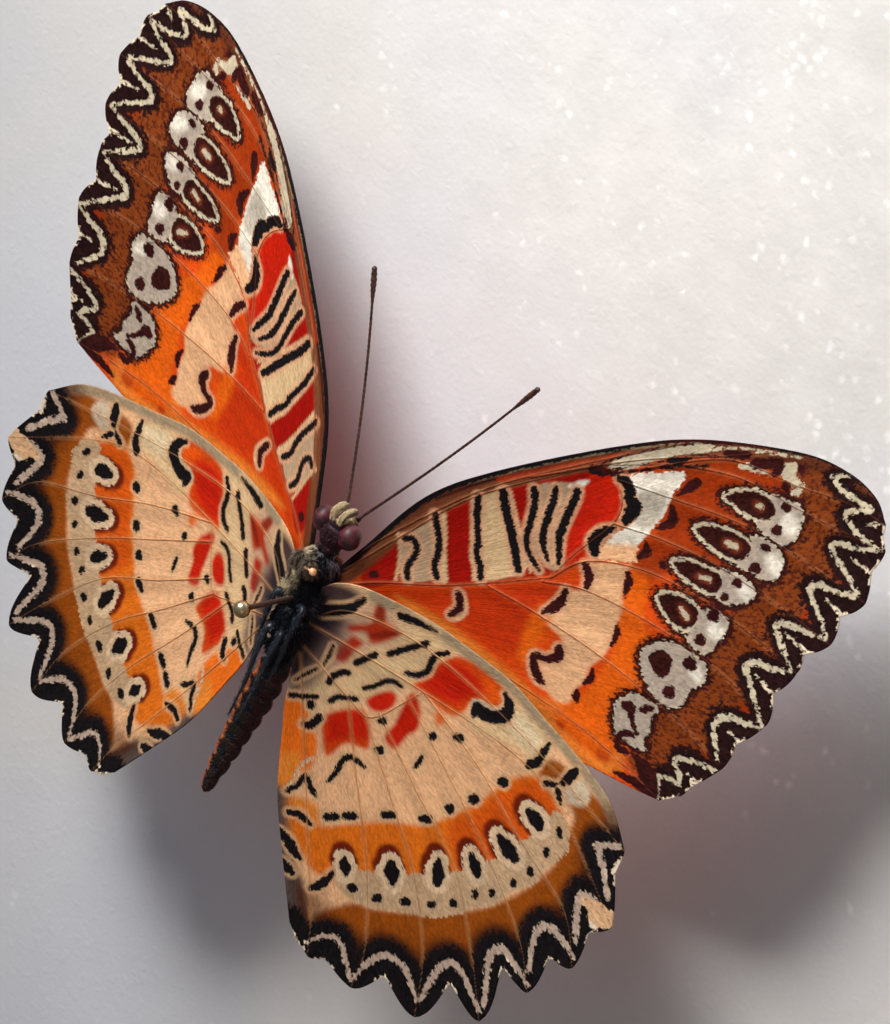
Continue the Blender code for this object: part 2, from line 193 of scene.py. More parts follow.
def on_wing(pixels, lift):
    """Where the sight lines of these pixels meet the right wing with this lift, in plan."""
    pixels = np.asarray(pixels, float).reshape(-1, 2)
    half = np.array(PHOTO_SIZE) / 2
    rays = np.column_stack([(pixels[:, 0] - half[0]) / FOCAL_PIXELS, (half[1] - pixels[:, 1]) / FOCAL_PIXELS,
                            -np.ones(len(pixels))]) @ CAMERA_AXES.T
    height = np.full(len(pixels), -3.0)
    for _ in range(SIGHT_STEPS):
        met = CAMERA_MM + rays * ((height - CAMERA_MM[2]) / rays[:, 2])[:, None]
        height = (height + wing_height(met[:, 0], met[:, 1]) + lift) / 2
    return met[:, :2]


print("the ball of an eyespot lies at", on_wing([(757, 505)], -WINGS_APART).round(1).tolist(), "mm")

# %% [markdown]
# The studio is a pale floor under the board and soft lights. The photograph is brightest at its top
# and falls off downwards, with wide shadows to the right and below. So the key is a softbox up there
# whose grid narrows its beam, aimed at the upper part of the board. A cool sky fills the shadows,
# and a warm lamp below right lifts them a little.

# %% Floor and lights
bpy.context.scene.view_settings.view_transform = "Standard"


def add_lamp(name, towards, distance, size, power, colour, spread=180, aim=(0.0, 0.0, 0.02)):
    """An area light seen from its aim in a direction given along the camera's own axes."""
    lamp_data = bpy.data.lights.new(name, "AREA")
    lamp_data.size = size
    lamp_data.energy = power
    lamp_data.color = colour
    lamp_data.spread = math.radians(spread)
    lamp = added(name, lamp_data)
    away = Vector(CAMERA_AXES @ np.array(towards)).normalized()
    lamp.location = Vector(aim) + away * distance
    lamp.rotation_euler = away.to_track_quat("Z", "Y").to_euler()
    print(name, "stands at", [round(v, 2) for v in lamp.location])


add_lamp("key lamp", (-0.37, 0.72, 0.59), 0.285, 0.15, 0.153, (1.0, 0.985, 0.965), spread=44,
         aim=(-0.006, 0.048, 0.012))
add_lamp("warm lamp", (0.0, -0.55, 0.8), 0.9, 0.5, 0.42, (1.0, 0.6, 0.38))

sky = bpy.data.worlds.new("sky")
sky.use_nodes = True
sky.node_tree.nodes["Background"].inputs["Color"].default_value = (0.84, 0.89, 1.0, 1)
sky.node_tree.nodes["Background"].inputs["Strength"].default_value = 0.18
bpy.context.scene.world = sky

deselect()
bpy.ops.mesh.primitive_plane_add(size=3.0, location=(0, 0, 0))
floor = bpy.context.active_object
floor.name = "floor"

# %% [markdown]
# Material maths reads best as arithmetic. One small class wraps the output of a node, so that an
# expression such as `1 - mask * 0.4` adds the Math nodes that it needs.

# %% A class for shader maths
class Wire:
    """One output of a material's node. Arithmetic on it adds Math nodes to the same material."""
    tree = None

    def __init__(self, socket):
        self.socket = socket

    @staticmethod
    def node(kind, settings=None, sockets=None, out=0):
        made = Wire.tree.nodes.new("ShaderNode" + kind)
        for name, value in (settings or {}).items():
            if name == "stops":
                Wire.set_stops(made.color_ramp, value)
            else:
                setattr(made, name, value)
        for name, value in (sockets or {}).items():
            if isinstance(value, Wire):
                Wire.tree.links.new(value.socket, made.inputs[name])
            else:
                made.inputs[name].default_value = value
        return Wire(made.outputs[out])

    @staticmethod
    def set_stops(ramp, stops):
        while len(ramp.elements) < len(stops):
            ramp.elements.new(1.0)
        for element, (place, colour) in zip(ramp.elements, stops):
            element.position = place
            element.color = colour

    def maths(self, operation, first, second=0.0):
        return Wire.node("Math", {"operation": operation}, {0: first, 1: second})

    def __add__(self, other):
        return self.maths("ADD", self, other)

    def __sub__(self, other):
        return self.maths("SUBTRACT", self, other)

    def __rsub__(self, other):
        return self.maths("SUBTRACT", other, self)

    def __mul__(self, other):
        return self.maths("MULTIPLY", self, other)

    __radd__ = __add__


def step_up(value, low, high):
    """0 below low, 1 above high, and a soft rise between them."""
    settings = {"interpolation_type": "SMOOTHSTEP", "clamp": True}
    return Wire.node("MapRange", settings, {0: value, 1: low, 2: high, 3: 0.0, 4: 1.0})


def mixed(low, high, factor):
    """The colour low where the factor is 0, and high where it is 1."""
    return Wire.node("Mix", {"data_type": "RGBA"}, {0: factor, 6: low, 7: high}, out=2)


def shaded(colour, factor):
    """A colour made darker or lighter by a factor that changes over the surface."""
    grey = Wire.node("CombineXYZ", {}, {0: factor, 1: factor, 2: factor})
    return Wire.node("VectorMath", {"operation": "MULTIPLY"}, {0: colour, 1: grey})


def noise(where, scale, detail=2.0, roughness=0.5):
    sockets = {"Vector": where, "Scale": scale, "Detail": detail, "Roughness": roughness}
    return Wire.node("TexNoise", {}, sockets)


def cells(where, scale, out=0, **more):
    """Voronoi cells: how far a place is from its cell's middle, or with out=1 the cell's own colour."""
    return Wire.node("TexVoronoi", {}, {"Vector": where, "Scale": scale, **more}, out=out)


def lots(where, scale, **more):
    """A random number for each Voronoi cell."""
    return Wire.node("SeparateColor", {}, {"Color": cells(where, scale, 1, **more)})


def object_place():
    return Wire.node("TexCoord", out=3)


def split(where):
    """The three coordinates of a place."""
    return [Wire.node("SeparateXYZ", {}, {"Vector": where}, out=axis) for axis in range(3)]


def read(name, out=2):
    """A named attribute of the mesh: its number with out=2, its colour with out=0."""
    return Wire.node("Attribute", {"attribute_name": name}, out=out)


def bump(height, distance, strength=1.0):
    return Wire.node("Bump", {}, {"Strength": strength, "Distance": distance, "Height": height})


def linear(colour):
    """A named colour, written as 0 to 255 on a screen, in the linear values that Blender mixes."""
    share = np.asarray(colour, float) / 255
    return np.where(share <= 0.04045, share / 12.92, ((share + 0.055) / 1.055) ** 2.4)


def rgba(colour):
    return (*[float(v) for v in linear(colour)], 1.0)


def start_material(name):
    """An empty material whose nodes the next expressions add."""
    made = bpy.data.materials.new(name)
    made.use_nodes = True
    Wire.tree = made.node_tree
    return made


def dress(made, **finish):
    """Feeds the material's surface: Base_Color=wire, Roughness=0.5 and so on."""
    shader = made.node_tree.nodes["Principled BSDF"]
    for name, value in finish.items():
        socket = shader.inputs[name.replace("_", " ")]
        if isinstance(value, Wire):
            made.node_tree.links.new(value.socket, socket)
        else:
            socket.default_value = value
    return made


print("shader helpers ready")

# %% [markdown]
# The floor is a pale, nearly even studio sheet. A faint cloudiness keeps it from looking like a hole.

# %% Floor finish
pale_sheet = start_material("pale studio sheet")
cloud = noise(object_place(), 6.0)
dress(pale_sheet, Base_Color=mixed(rgba((226, 226, 228)), rgba((236, 235, 233)), cloud), Roughness=0.8)
floor.data.materials.append(pale_sheet)

# %% [markdown]
# The board is fine white foam, nearly flat, with closed cells half a millimetre across that hardly
# show. Voronoi cells give all of them a faint pillow, and one in seven, picked by its own random tone,
# a bright white dome painted into the colour: a painted glint where the skin of a cell would catch
# the light. The glints gather on the side towards the key lamp, and there the lumps are painted
# lighter and darker, as painted light and shade.

# %% Foam board
FOAM_CELLS_PER_METRE = 880.0


def foam_material():
    made = start_material("white foam")
    where = object_place()
    drift = Wire.node("TexNoise", {}, {"Vector": where, "Scale": 900.0, "Detail": 2.0}, out=1)
    wavy = Wire.node("VectorMath", {"operation": "MULTIPLY_ADD"}, {0: drift, 1: (0.0011,) * 3, 2: where})
    dome = 1 - step_up(cells(wavy, FOAM_CELLS_PER_METRE), 0.0, 0.5)
    lot = lots(wavy, FOAM_CELLS_PER_METRE)
    across, along = split(where)[:2]
    # The side of the board towards the key lamp, where glints and the shading of lumps are painted.
    lamp_side = step_up(across * 0.5 + along, -0.01, 0.06)
    # speck is a painted glint: a white dome in the colour, with lower roughness, gathered on the lamp side.
    speck = dome * step_up(lot * 0.5 + noise(where, 130.0, 3.0) + lamp_side * 0.3, 1.06, 1.24)
    grain = noise(where, 2600.0, 3.0)
    lumps = noise(where, 210.0, 3.0)
    cloud = step_up(noise(where, 22.0, 2.0), 0.35, 0.65)
    ground = mixed(rgba((222, 224, 229)), rgba((230, 226, 221)), cloud)
    # The lumps are painted lighter and darker, painted light and shade, most strongly on the lamp side.
    ground = shaded(ground, 0.95 + grain * 0.05 + (lumps - 0.5) * (lamp_side * 0.2 + 0.06))
    height = dome * 0.2 + grain * 0.25 + lumps * (lamp_side * 1.8 + 1.0)
    return dress(made, Base_Color=mixed(ground, rgba((255, 255, 252)), speck * 0.85),
                 Roughness=0.62 - speck * 0.3, Normal=bump(height, 0.00012, 0.5))


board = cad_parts["foam_board"]
board.data.materials.clear()
board.data.materials.append(foam_material())
print("foam on", board.name)

# %% [markdown]
# A wing is a membrane a tenth of a millimetre thick on a frame of hollow veins. It could be a flat
# card with a painted mask, but then its scalloped edge would be missing from the mesh. So a fine
# grid is laid over the wing's box, the faces outside the outline are deleted, and the corners that
# still hang over it are pulled onto it. The outlines are the ones that the solids have.

# %% Outlines and veins of the wings
CELL = 0.17
MARGIN_STEPS = 14
NOTCH_SHAPE = (0.85, 1.2)

FOREWING_COSTA = [
    (1.5, 4.9), (2.6, 7.5), (5.4, 13.9), (9.7, 19.0), (17.5, 26.1), (23.0, 30.1), (30.1, 33.4), (34.1, 34.2),
    (37.0, 33.8), (38.7, 32.6),
]
FOREWING_TIPS = [
    (38.7, 32.6), (39.8, 30.9), (40.5, 26.9), (39.7, 22.7), (38.4, 19.3), (38.3, 14.6), (36.7, 9.3),
    (34.6, 5.2), (33.1, 3.7),
]
FOREWING_NOTCHES = [
    (39.0, 31.7), (39.6, 29.1), (39.2, 24.9), (38.1, 20.8), (37.5, 16.8), (36.8, 11.6), (35.2, 6.6),
    (33.9, 4.5),
]
FOREWING_INNER = [(33.1, 3.7), (29.0, 2.7), (19.6, 1.0), (9.8, 0.1), (1.5, 0.3)]
FOREWING_VEINS = {
    "Sc": [(2.0, 5.6), (3.9, 9.3), (9.1, 16.8), (14.4, 22.2), (19.3, 26.7), (22.3, 29.4)],
    "R1": [(12.2, 20.0), (18.9, 25.7), (24.6, 29.6), (28.5, 32.4)],
    "R4": [(20.0, 25.7), (25.5, 29.9), (31.4, 31.2), (35.0, 32.2), (38.7, 32.6)],
    "R5": [(22.6, 27.6), (27.1, 29.2), (33.0, 29.8), (39.8, 30.9)],
    "R": [(1.9, 4.8), (5.0, 10.1), (8.7, 15.9), (13.9, 21.2), (17.4, 24.3), (22.6, 27.6)],
    "M1": [(18.6, 23.7), (23.0, 24.8), (30.2, 26.4), (40.5, 26.9)],
    "M2": [(19.6, 20.4), (23.7, 21.5), (29.8, 22.4), (39.7, 22.7)],
    "cell end": [(17.4, 24.3), (19.3, 22.7), (19.6, 20.4), (17.9, 16.6), (16.8, 13.5)],
    "M3": [(16.8, 13.5), (19.1, 16.6), (24.1, 18.7), (30.8, 19.4), (38.4, 19.3)],
    "CuA1": [(16.3, 12.9), (20.0, 14.4), (26.8, 15.3), (33.2, 15.4), (38.3, 14.6)],
    "CuA2": [(12.6, 10.1), (18.4, 10.4), (25.5, 10.4), (32.1, 10.0), (36.7, 9.3)],
    "Cu": [(2.0, 3.5), (5.1, 5.6), (10.1, 8.5), (16.8, 13.5)],
    "2A": [(2.0, 2.6), (9.8, 3.9), (17.6, 4.3), (25.9, 4.4), (33.1, 3.7)],
}

HINDWING_COSTA = [
    (1.5, 3.1), (2.6, 4.2), (4.9, 5.0), (10.2, 5.4), (13.7, 5.2), (18.3, 4.8), (22.2, 3.8), (27.1, 2.6),
    (30.3, 1.4), (33.0, -0.9),
]
HINDWING_TIPS = [
    (33.0, -0.9), (35.0, -6.8), (33.4, -12.1), (30.8, -16.6), (28.1, -21.6), (23.0, -25.0), (17.2, -26.1),
    (13.0, -25.8), (10.5, -24.0),
]
HINDWING_NOTCHES = [
    (33.2, -3.0), (33.4, -8.6), (31.2, -12.8), (27.9, -16.3), (24.5, -20.5), (19.3, -23.5), (14.4, -25.2),
    (11.6, -25.1),
]
HINDWING_INNER = [(10.5, -24.0), (7.4, -18.8), (5.0, -14.4), (3.1, -9.0), (2.5, -7.2), (1.8, -3.8)]
HINDWING_VEINS = {
    "Sc+R1": [(2.1, 0.8), (4.5, 2.6), (10.7, 3.2), (19.6, 1.8), (26.9, 0.3), (33.0, -0.9)],
    "Rs": [(2.1, -0.2), (6.6, -0.2), (11.9, -0.2), (21.2, -0.2), (26.5, -1.7), (35.0, -6.8)],
    "M1": [(12.1, -0.2), (18.8, -3.0), (24.5, -6.0), (30.7, -8.6), (33.4, -12.1)],
    "M2": [(11.3, -1.5), (17.1, -5.3), (22.9, -9.1), (28.3, -13.3), (30.8, -16.6)],
    "M3": [(9.6, -3.9), (15.0, -7.9), (20.7, -11.7), (25.3, -17.4), (28.1, -21.6)],
    "CuA1": [(8.8, -4.8), (13.1, -9.4), (17.7, -14.1), (21.4, -19.8), (23.0, -25.0)],
    "CuA2": [(6.8, -4.1), (10.2, -9.9), (14.2, -16.3), (16.9, -22.5), (17.2, -26.1)],
    "cell": [(2.1, -2.2), (6.8, -4.1), (9.2, -4.6), (11.3, -1.5), (12.1, -0.2)],
    "2A": [(2.1, -2.9), (4.8, -8.6), (8.7, -16.5), (11.7, -22.3), (13.0, -25.8)],
}


def scalloped(tips, notches, roundness):
    """The outer margin: a rounded lobe at each vein tip, and a narrow notch between each two."""
    edge = []
    for start, end, low in zip(np.array(tips[:-1]), np.array(tips[1:]), np.array(notches)):
        reach = end - start
        part = (low - start) @ reach / (reach @ reach)
        for along in np.arange(MARGIN_STEPS) / MARGIN_STEPS:
            t = 2 * part * along if along < 0.5 else part + (2 * along - 1) * (1 - part)
            dip = 1 - abs(math.cos(math.pi * along)) ** roundness
            edge.append(start + reach * t + (low - start - reach * part) * dip)
    return np.array(edge + [np.array(tips[-1])])


FOREWING_MARGIN = scalloped(FOREWING_TIPS, FOREWING_NOTCHES, NOTCH_SHAPE[0])
HINDWING_MARGIN = scalloped(HINDWING_TIPS, HINDWING_NOTCHES, NOTCH_SHAPE[1])
FOREWING_OUTLINE, HINDWING_OUTLINE = [
    np.vstack([smooth_line(costa, 8)[:-1], margin[:-1], smooth_line(inner, 8)])
    for costa, margin, inner in ((FOREWING_COSTA, FOREWING_MARGIN, FOREWING_INNER),
                                 (HINDWING_COSTA, HINDWING_MARGIN, HINDWING_INNER))]
print("outline points:", len(FOREWING_OUTLINE), len(HINDWING_OUTLINE))

# %% [markdown]
# Every mark on a wing is described by how deep a place lies inside it, in millimetres: more than
# nothing inside, less than nothing outside. A brush stroke has a width at each of its points, and a
# patch has a rounded outline. Depths keep an edge crisp however coarse the grid is, because the
# material draws the edge where the depth crosses zero.

# %% Depth inside strokes and patches
REACH = 2.4


def smooth_ring(points, steps):
    """A closed smooth curve through a few points."""
    given = np.asarray(points, float)
    wrapped = np.vstack([given[-1], given, given[:2]])
    return smooth_line(wrapped, steps)[steps:-steps]


def near_line(places, line):
    """Distance of each place from a line, and how far along it the nearest point is, in steps."""
    gap = np.full(len(places), 1e9)
    along = np.zeros(len(places))
    for index, (start, end) in enumerate(zip(line[:-1], line[1:])):
        ahead = end - start
        part = np.clip((places - start) @ ahead / max(ahead @ ahead, 1e-12), 0, 1)
        distance = np.linalg.norm(places - start - part[:, None] * ahead, axis=1)
        closer = distance < gap
        gap[closer] = distance[closer]
        along[closer] = index + part[closer]
    return gap, along


def depth_in_stroke(places, line, widths):
    """Depth inside a brush stroke. The half widths are spread evenly along the line."""
    line = smooth_line(line, 4) if len(line) > 2 else np.asarray(line, float)
    depth = np.full(len(places), -REACH)
    room = REACH + max(widths)
    close = ((places > line.min(0) - room) & (places < line.max(0) + room)).all(1)
    gap, along = near_line(places[close], line)
    half = np.interp(along / (len(line) - 1), np.linspace(0, 1, len(widths)), widths)
    depth[close] = np.maximum(half - gap, -REACH)
    return depth


def inside(places, outline):
    """Which places lie inside a closed outline."""
    x, y = places.T
    within = np.zeros(len(places), bool)
    for (x0, y0), (x1, y1) in zip(outline, np.roll(outline, -1, axis=0)):
        if y0 == y1:
            continue
        within ^= ((y0 > y) != (y1 > y)) & (x < (x1 - x0) * (y - y0) / (y1 - y0) + x0)
    return within


def depth_in_patch(places, corners):
    """Depth inside a patch with a rounded outline through its corners."""
    ring = smooth_ring(corners, 4)
    depth = np.full(len(places), -REACH)
    close = ((places > ring.min(0) - REACH) & (places < ring.max(0) + REACH)).all(1)
    gap = near_line(places[close], np.vstack([ring, ring[0]]))[0]
    depth[close] = np.where(inside(places[close], ring), gap, np.maximum(-gap, -REACH))
    return depth


def paint(colours, depth, colour, soft, strength=1.0):
    """Lays a colour over the ground, with an edge this many millimetres soft."""
    share = np.clip(depth / soft + 0.5, 0, 1)
    share = strength * share * share * (3 - 2 * share)
    colours += (linear(colour) - colours) * share[:, None]


print("depth helpers ready")

# %% [markdown]
# The sheet of a wing: grid, trim, margin, the cupped shape, and then a thickness with Solidify. Each
# vein is a tapered tube that stands out of the membrane on both sides, and the membrane bulges a
# little between the veins, as on the real wing.

# %% Wing sheets
MEMBRANE = 0.12
BULGE = 0.11
BULGE_REACH = 1.6
FLAT_MARGIN = 1.2
VEIN_RADIUS = (0.13, 0.05)


def trimmed_grid(name, outline):
    """A fine flat grid over the outline's box, trimmed to the outline, in millimetres in plan."""
    low, high = outline.min(0) - CELL, outline.max(0) + CELL
    count = np.ceil((high - low) / CELL).astype(int)
    middle = placed([*(low + high) / 2, 0])
    deselect()
    bpy.ops.mesh.primitive_grid_add(x_subdivisions=int(count[0]), y_subdivisions=int(count[1]), size=1,
                                    location=middle)
    bpy.ops.transform.resize(value=(*((high - low) * MM), 1))
    sheet = bpy.context.active_object
    sheet.name = name
    fix_transform()
    within = inside(plan_places(sheet), outline)
    corners = np.array([list(face.vertices) for face in sheet.data.polygons])
    outside = ~within[corners].any(1)
    bpy.context.tool_settings.mesh_select_mode = (False, False, True)
    bpy.ops.object.mode_set(mode="EDIT")
    bpy.ops.mesh.select_all(action="DESELECT")
    bpy.ops.object.mode_set(mode="OBJECT")
    sheet.data.polygons.foreach_set("select", outside)
    bpy.ops.object.mode_set(mode="EDIT")
    bpy.ops.mesh.delete(type="FACE")
    bpy.ops.object.mode_set(mode="OBJECT")
    return sheet


def plan_places(piece):
    """The places of a piece's points in plan."""
    return points_of(piece.data)[:, :2]


def pull_to_outline(places, outline):
    """Moves the places that hang over the outline onto it."""
    over = ~inside(places, outline)
    ring = np.vstack([outline, outline[0]])
    along = near_line(places[over], ring)[1]
    index = np.minimum(along.astype(int), len(ring) - 2)
    part = (along - index)[:, None]
    moved = places.copy()
    moved[over] = ring[index] * (1 - part) + ring[index + 1] * part
    return moved


def vein_distance(places, veins):
    return np.min([near_line(places, smooth_line(vein, 4))[0] for vein in veins.values()], axis=0)


def shape_sheet(sheet, outline, veins, lift):
    places = pull_to_outline(plan_places(sheet), outline)
    away = np.clip(vein_distance(places, veins) / BULGE_REACH, 0, 1)
    margin = np.clip(near_line(places, np.vstack([outline, outline[0]]))[0] / FLAT_MARGIN, 0, 1)
    height = wing_height(*places.T) + lift - BULGE * away * away * (3 - 2 * away) * margin
    sheet.data.vertices.foreach_set("co", placed(np.column_stack([places, height])).ravel())
    sheet.data.update()


def vein_tubes(name, veins, lift):
    """Tapered tubes along the veins, as one piece."""
    lines = []
    for vein in veins.values():
        line = smooth_line(vein, 10)
        line = np.column_stack([line, wing_height(*line.T) + lift])
        lines.append((line, np.linspace(*VEIN_RADIUS, len(line))))
    return tubes(name, lines, 1)


def make_wing(name, outline, veins, lift, *finishes):
    """A whole right wing: a sheet with thickness, joined to its veins, with its two finishes."""
    sheet = trimmed_grid(name, outline)
    shape_sheet(sheet, outline, veins, lift)
    for finish in finishes:
        sheet.data.materials.append(finish)
    modified(sheet, "SOLIDIFY", thickness=MEMBRANE * MM, offset=0, material_offset=1)
    frame_of_veins = vein_tubes(name + " veins", veins, lift)
    for finish in finishes:
        frame_of_veins.data.materials.append(finish)
    facing = np.empty(len(frame_of_veins.data.polygons) * 3)
    frame_of_veins.data.polygons.foreach_get("normal", facing)
    frame_of_veins.data.polygons.foreach_set("material_index", (facing[2::3] < 0).astype(int))
    joined(name, sheet, frame_of_veins)
    sheet.data.shade_smooth()
    print(name, "has", len(sheet.data.polygons), "faces")
    return sheet


# %% [markdown]
# The underside of the forewing is the species' own pattern: black and cream bars over red in the
# cell, a white band beyond it, a peach disc under it, six ringed eyespots and a zigzag along the
# margin. Each mark is read in the photograph and named, so it can be put right by hand.

# %% Colours of the scales
RED = (164, 13, 2)
ORANGE = (224, 82, 8)
BRIGHT_ORANGE = (236, 100, 14)
YELLOW_ORANGE = (230, 132, 46)
PEACH = (238, 182, 134)
CREAM = (222, 186, 138)
GREY_TAN = (190, 158, 124)
WHITE = (244, 234, 214)
GREY = (196, 184, 164)
BROWN = (140, 64, 20)
ORANGE_BROWN = (164, 54, 7)
CELL_RED = (200, 30, 4)
BLACK = (20, 15, 17)
MAROON = (52, 14, 14)
OCHRE = (156, 76, 10)

# %% Forewing ground: (colour, softness, corners in the photograph)
FOREWING_GROUND = [
    (ORANGE_BROWN, 1.5, [(690, 440), (880, 440), (895, 540), (860, 640), (780, 730), (700, 805), (640, 795),
        (668, 690), (690, 610), (660, 548), (668, 500)]),
    ((204, 54, 8), 2.2, [(385, 590), (470, 585), (560, 578), (578, 592), (545, 622), (520, 655), (490, 650),
        (450, 618), (410, 600)]),
    (YELLOW_ORANGE, 1.0, [(395, 595), (440, 619), (470, 640), (510, 672), (545, 703), (585, 745), (622, 768),
        (600, 772), (560, 745), (515, 700), (470, 658), (430, 628)]),
    ((240, 122, 44), 1.2, [(545, 700), (580, 700), (612, 735), (628, 760), (600, 762), (570, 738)]),
    (PEACH, 0.4, [(593, 563), (634, 567), (627, 572), (622, 597), (628, 609), (618, 622), (611, 644),
        (602, 658), (590, 667), (584, 681), (573, 692), (569, 703), (556, 700), (544, 686), (541, 664),
        (556, 659), (562, 640), (548, 625), (541, 618), (556, 606), (568, 590), (583, 589)]),
    (BRIGHT_ORANGE, 0.6, [(633, 570), (650, 577), (643, 617), (652, 643), (637, 663), (643, 687), (623, 697),
        (613, 717), (617, 750), (597, 757), (557, 717), (580, 697), (597, 677), (613, 650), (620, 617),
        (627, 590)]),
    (BROWN, 1.0, [(780, 462), (823, 455), (852, 476), (862, 507), (850, 540), (830, 583), (797, 622),
        (768, 663), (742, 703), (715, 743), (690, 765), (660, 785), (630, 765), (640, 735), (680, 690),
        (703, 660), (733, 613), (763, 573), (790, 540), (797, 503)]),
    (ORANGE_BROWN, 1.0, [(670, 490), (687, 467), (750, 460), (792, 480), (743, 487), (713, 490), (710, 507),
        (693, 517), (683, 527), (680, 543), (670, 557), (660, 577), (640, 573), (633, 557), (660, 527),
        (670, 503)]),
    (RED, 0.5, [(363, 580), (372, 545), (423, 506), (470, 488), (510, 476), (563, 470), (603, 466),
        (632, 480), (632, 512), (597, 527), (580, 562), (550, 574), (483, 584), (390, 585)]),
    (GREY_TAN, 0.15, [(402, 535), (428, 516), (438, 540), (438, 577), (404, 580), (400, 560)]),
    (RED, 0.15, [(362, 585), (375, 545), (396, 530), (400, 545), (396, 580)]),
    (CREAM, 0.12, [(442, 508), (450, 500), (450, 530), (446, 548), (449, 580), (440, 580), (442, 545)]),
    (CREAM, 0.12, [(470, 495), (506, 489), (512, 520), (518, 545), (525, 572), (470, 580), (470, 545)]),
    (RED, 0.12, [(449, 502), (470, 495), (470, 530), (467, 547), (472, 580), (449, 580), (447, 540)]),
    (GREY_TAN, 0.12, [(534, 488), (580, 486), (572, 520), (563, 548), (563, 566), (552, 570), (540, 560),
        (531, 540)]),
    (RED, 0.12, [(514, 488), (531, 488), (531, 508), (524, 536), (519, 527)]),
    (CELL_RED, 0.15, [(579, 491), (593, 474), (613, 474), (623, 490), (622, 515), (608, 526), (590, 531),
        (584, 547), (582, 562), (562, 565), (562, 543), (571, 513)]),
]

MOTTLED = next(index for index, ground in enumerate(FOREWING_GROUND) if ground[0] == BROWN)

# Stripes: (colour, softness, half widths in millimetres, line in the photograph)
FOREWING_STRIPES = [
    (CREAM, 0.15, (0.12,), [(398, 532), (400, 546), (399, 560), (396, 580)]),
    (CREAM, 0.12, (0.1,), [(511, 492), (516, 515), (524, 549), (531, 572)]),
    (WHITE, 0.2, (0.2, 0.3, 0.1), [(571, 487), (581, 484), (588, 481)]),
    (CREAM, 0.12, (0.16,), [(464, 593), (466, 612), (455, 620), (448, 617)]),
    (CREAM, 0.15, (0.14,), [(534, 652), (530, 660), (531, 672), (536, 683)]),
    (BRIGHT_ORANGE, 0.9, (0.7, 0.8, 0.6), [(545, 612), (533, 632), (524, 656)]),
    ((150, 134, 100), 0.15, (0.1, 0.18, 0.2, 0.14), [(470, 482), (505, 472), (560, 459), (612, 450),
        (690, 441)]),
    ((54, 18, 12), 0.2, (0.1, 0.14, 0.1, 0.08), [(436, 499), (480, 483), (530, 471), (590, 460), (628, 448)]),
    ((60, 16, 10), 0.2, (0.08, 0.1, 0.08), [(470, 492), (530, 479), (585, 470), (604, 466)]),
    ((160, 48, 20), 0.3, (0.25, 0.3, 0.12), [(500, 480), (560, 468), (630, 453)]),
    ((130, 95, 110), 0.2, (0.12, 0.18, 0.12), [(620, 786), (634, 792), (650, 799)]),
    ((200, 76, 20), 0.5, (0.45,), [(601, 754), (605, 757)]),
    ((196, 66, 18), 0.4, (0.28,), [(559, 723), (562, 726)]),
]

# Pale marks with a crisp edge: patches, then strokes
FOREWING_PALE_PATCHES = {
    "white band": [(632, 474), (664, 472), (687, 473), (682, 481), (674, 494), (668, 506), (662, 519),
        (652, 530), (640, 544), (637, 554), (637, 562), (616, 561), (598, 559), (602, 547), (616, 533),
        (631, 524), (641, 510), (637, 496)],
    "beyond eyespot 1": [(756, 523), (771, 521), (775, 508), (771, 496), (779, 496), (792, 501), (803, 510),
        (802, 524), (796, 538), (786, 546), (775, 542), (761, 531)],
    "beyond eyespot 2": [(741, 559), (751, 548), (751, 536), (766, 539), (781, 551), (783, 563), (778, 576),
        (770, 581), (756, 576), (737, 565)],
    "beyond eyespot 3": [(714, 591), (721, 578), (722, 569), (737, 574), (754, 585), (754, 597), (743, 604),
        (729, 605), (717, 599)],
    "beyond eyespot 4": [(686, 637), (698, 622), (696, 612), (713, 610), (728, 620), (726, 632), (717, 644),
        (707, 654), (698, 651)],
    "round eyespot 5": [(642, 649), (656, 642), (672, 642), (687, 649), (699, 658), (707, 666), (703, 683),
        (689, 692), (683, 704), (673, 708), (661, 703), (650, 690), (643, 677), (639, 660)],
    "round eyespot 6": [(616, 701), (626, 695), (637, 694), (649, 700), (659, 709), (652, 717), (649, 733),
        (642, 742), (646, 750), (634, 748), (624, 740), (616, 736), (613, 725), (614, 707)],
    "before the apex": [(781, 464), (796, 464), (798, 477), (803, 485), (794, 484), (784, 479)],
    "wedge before the apex": [(738, 465), (754, 463), (763, 470), (777, 477), (765, 475), (746, 470)],
    "under the costa": [(611, 469), (620, 457), (687, 443), (709, 442), (709, 451), (664, 459), (631, 470)],
}
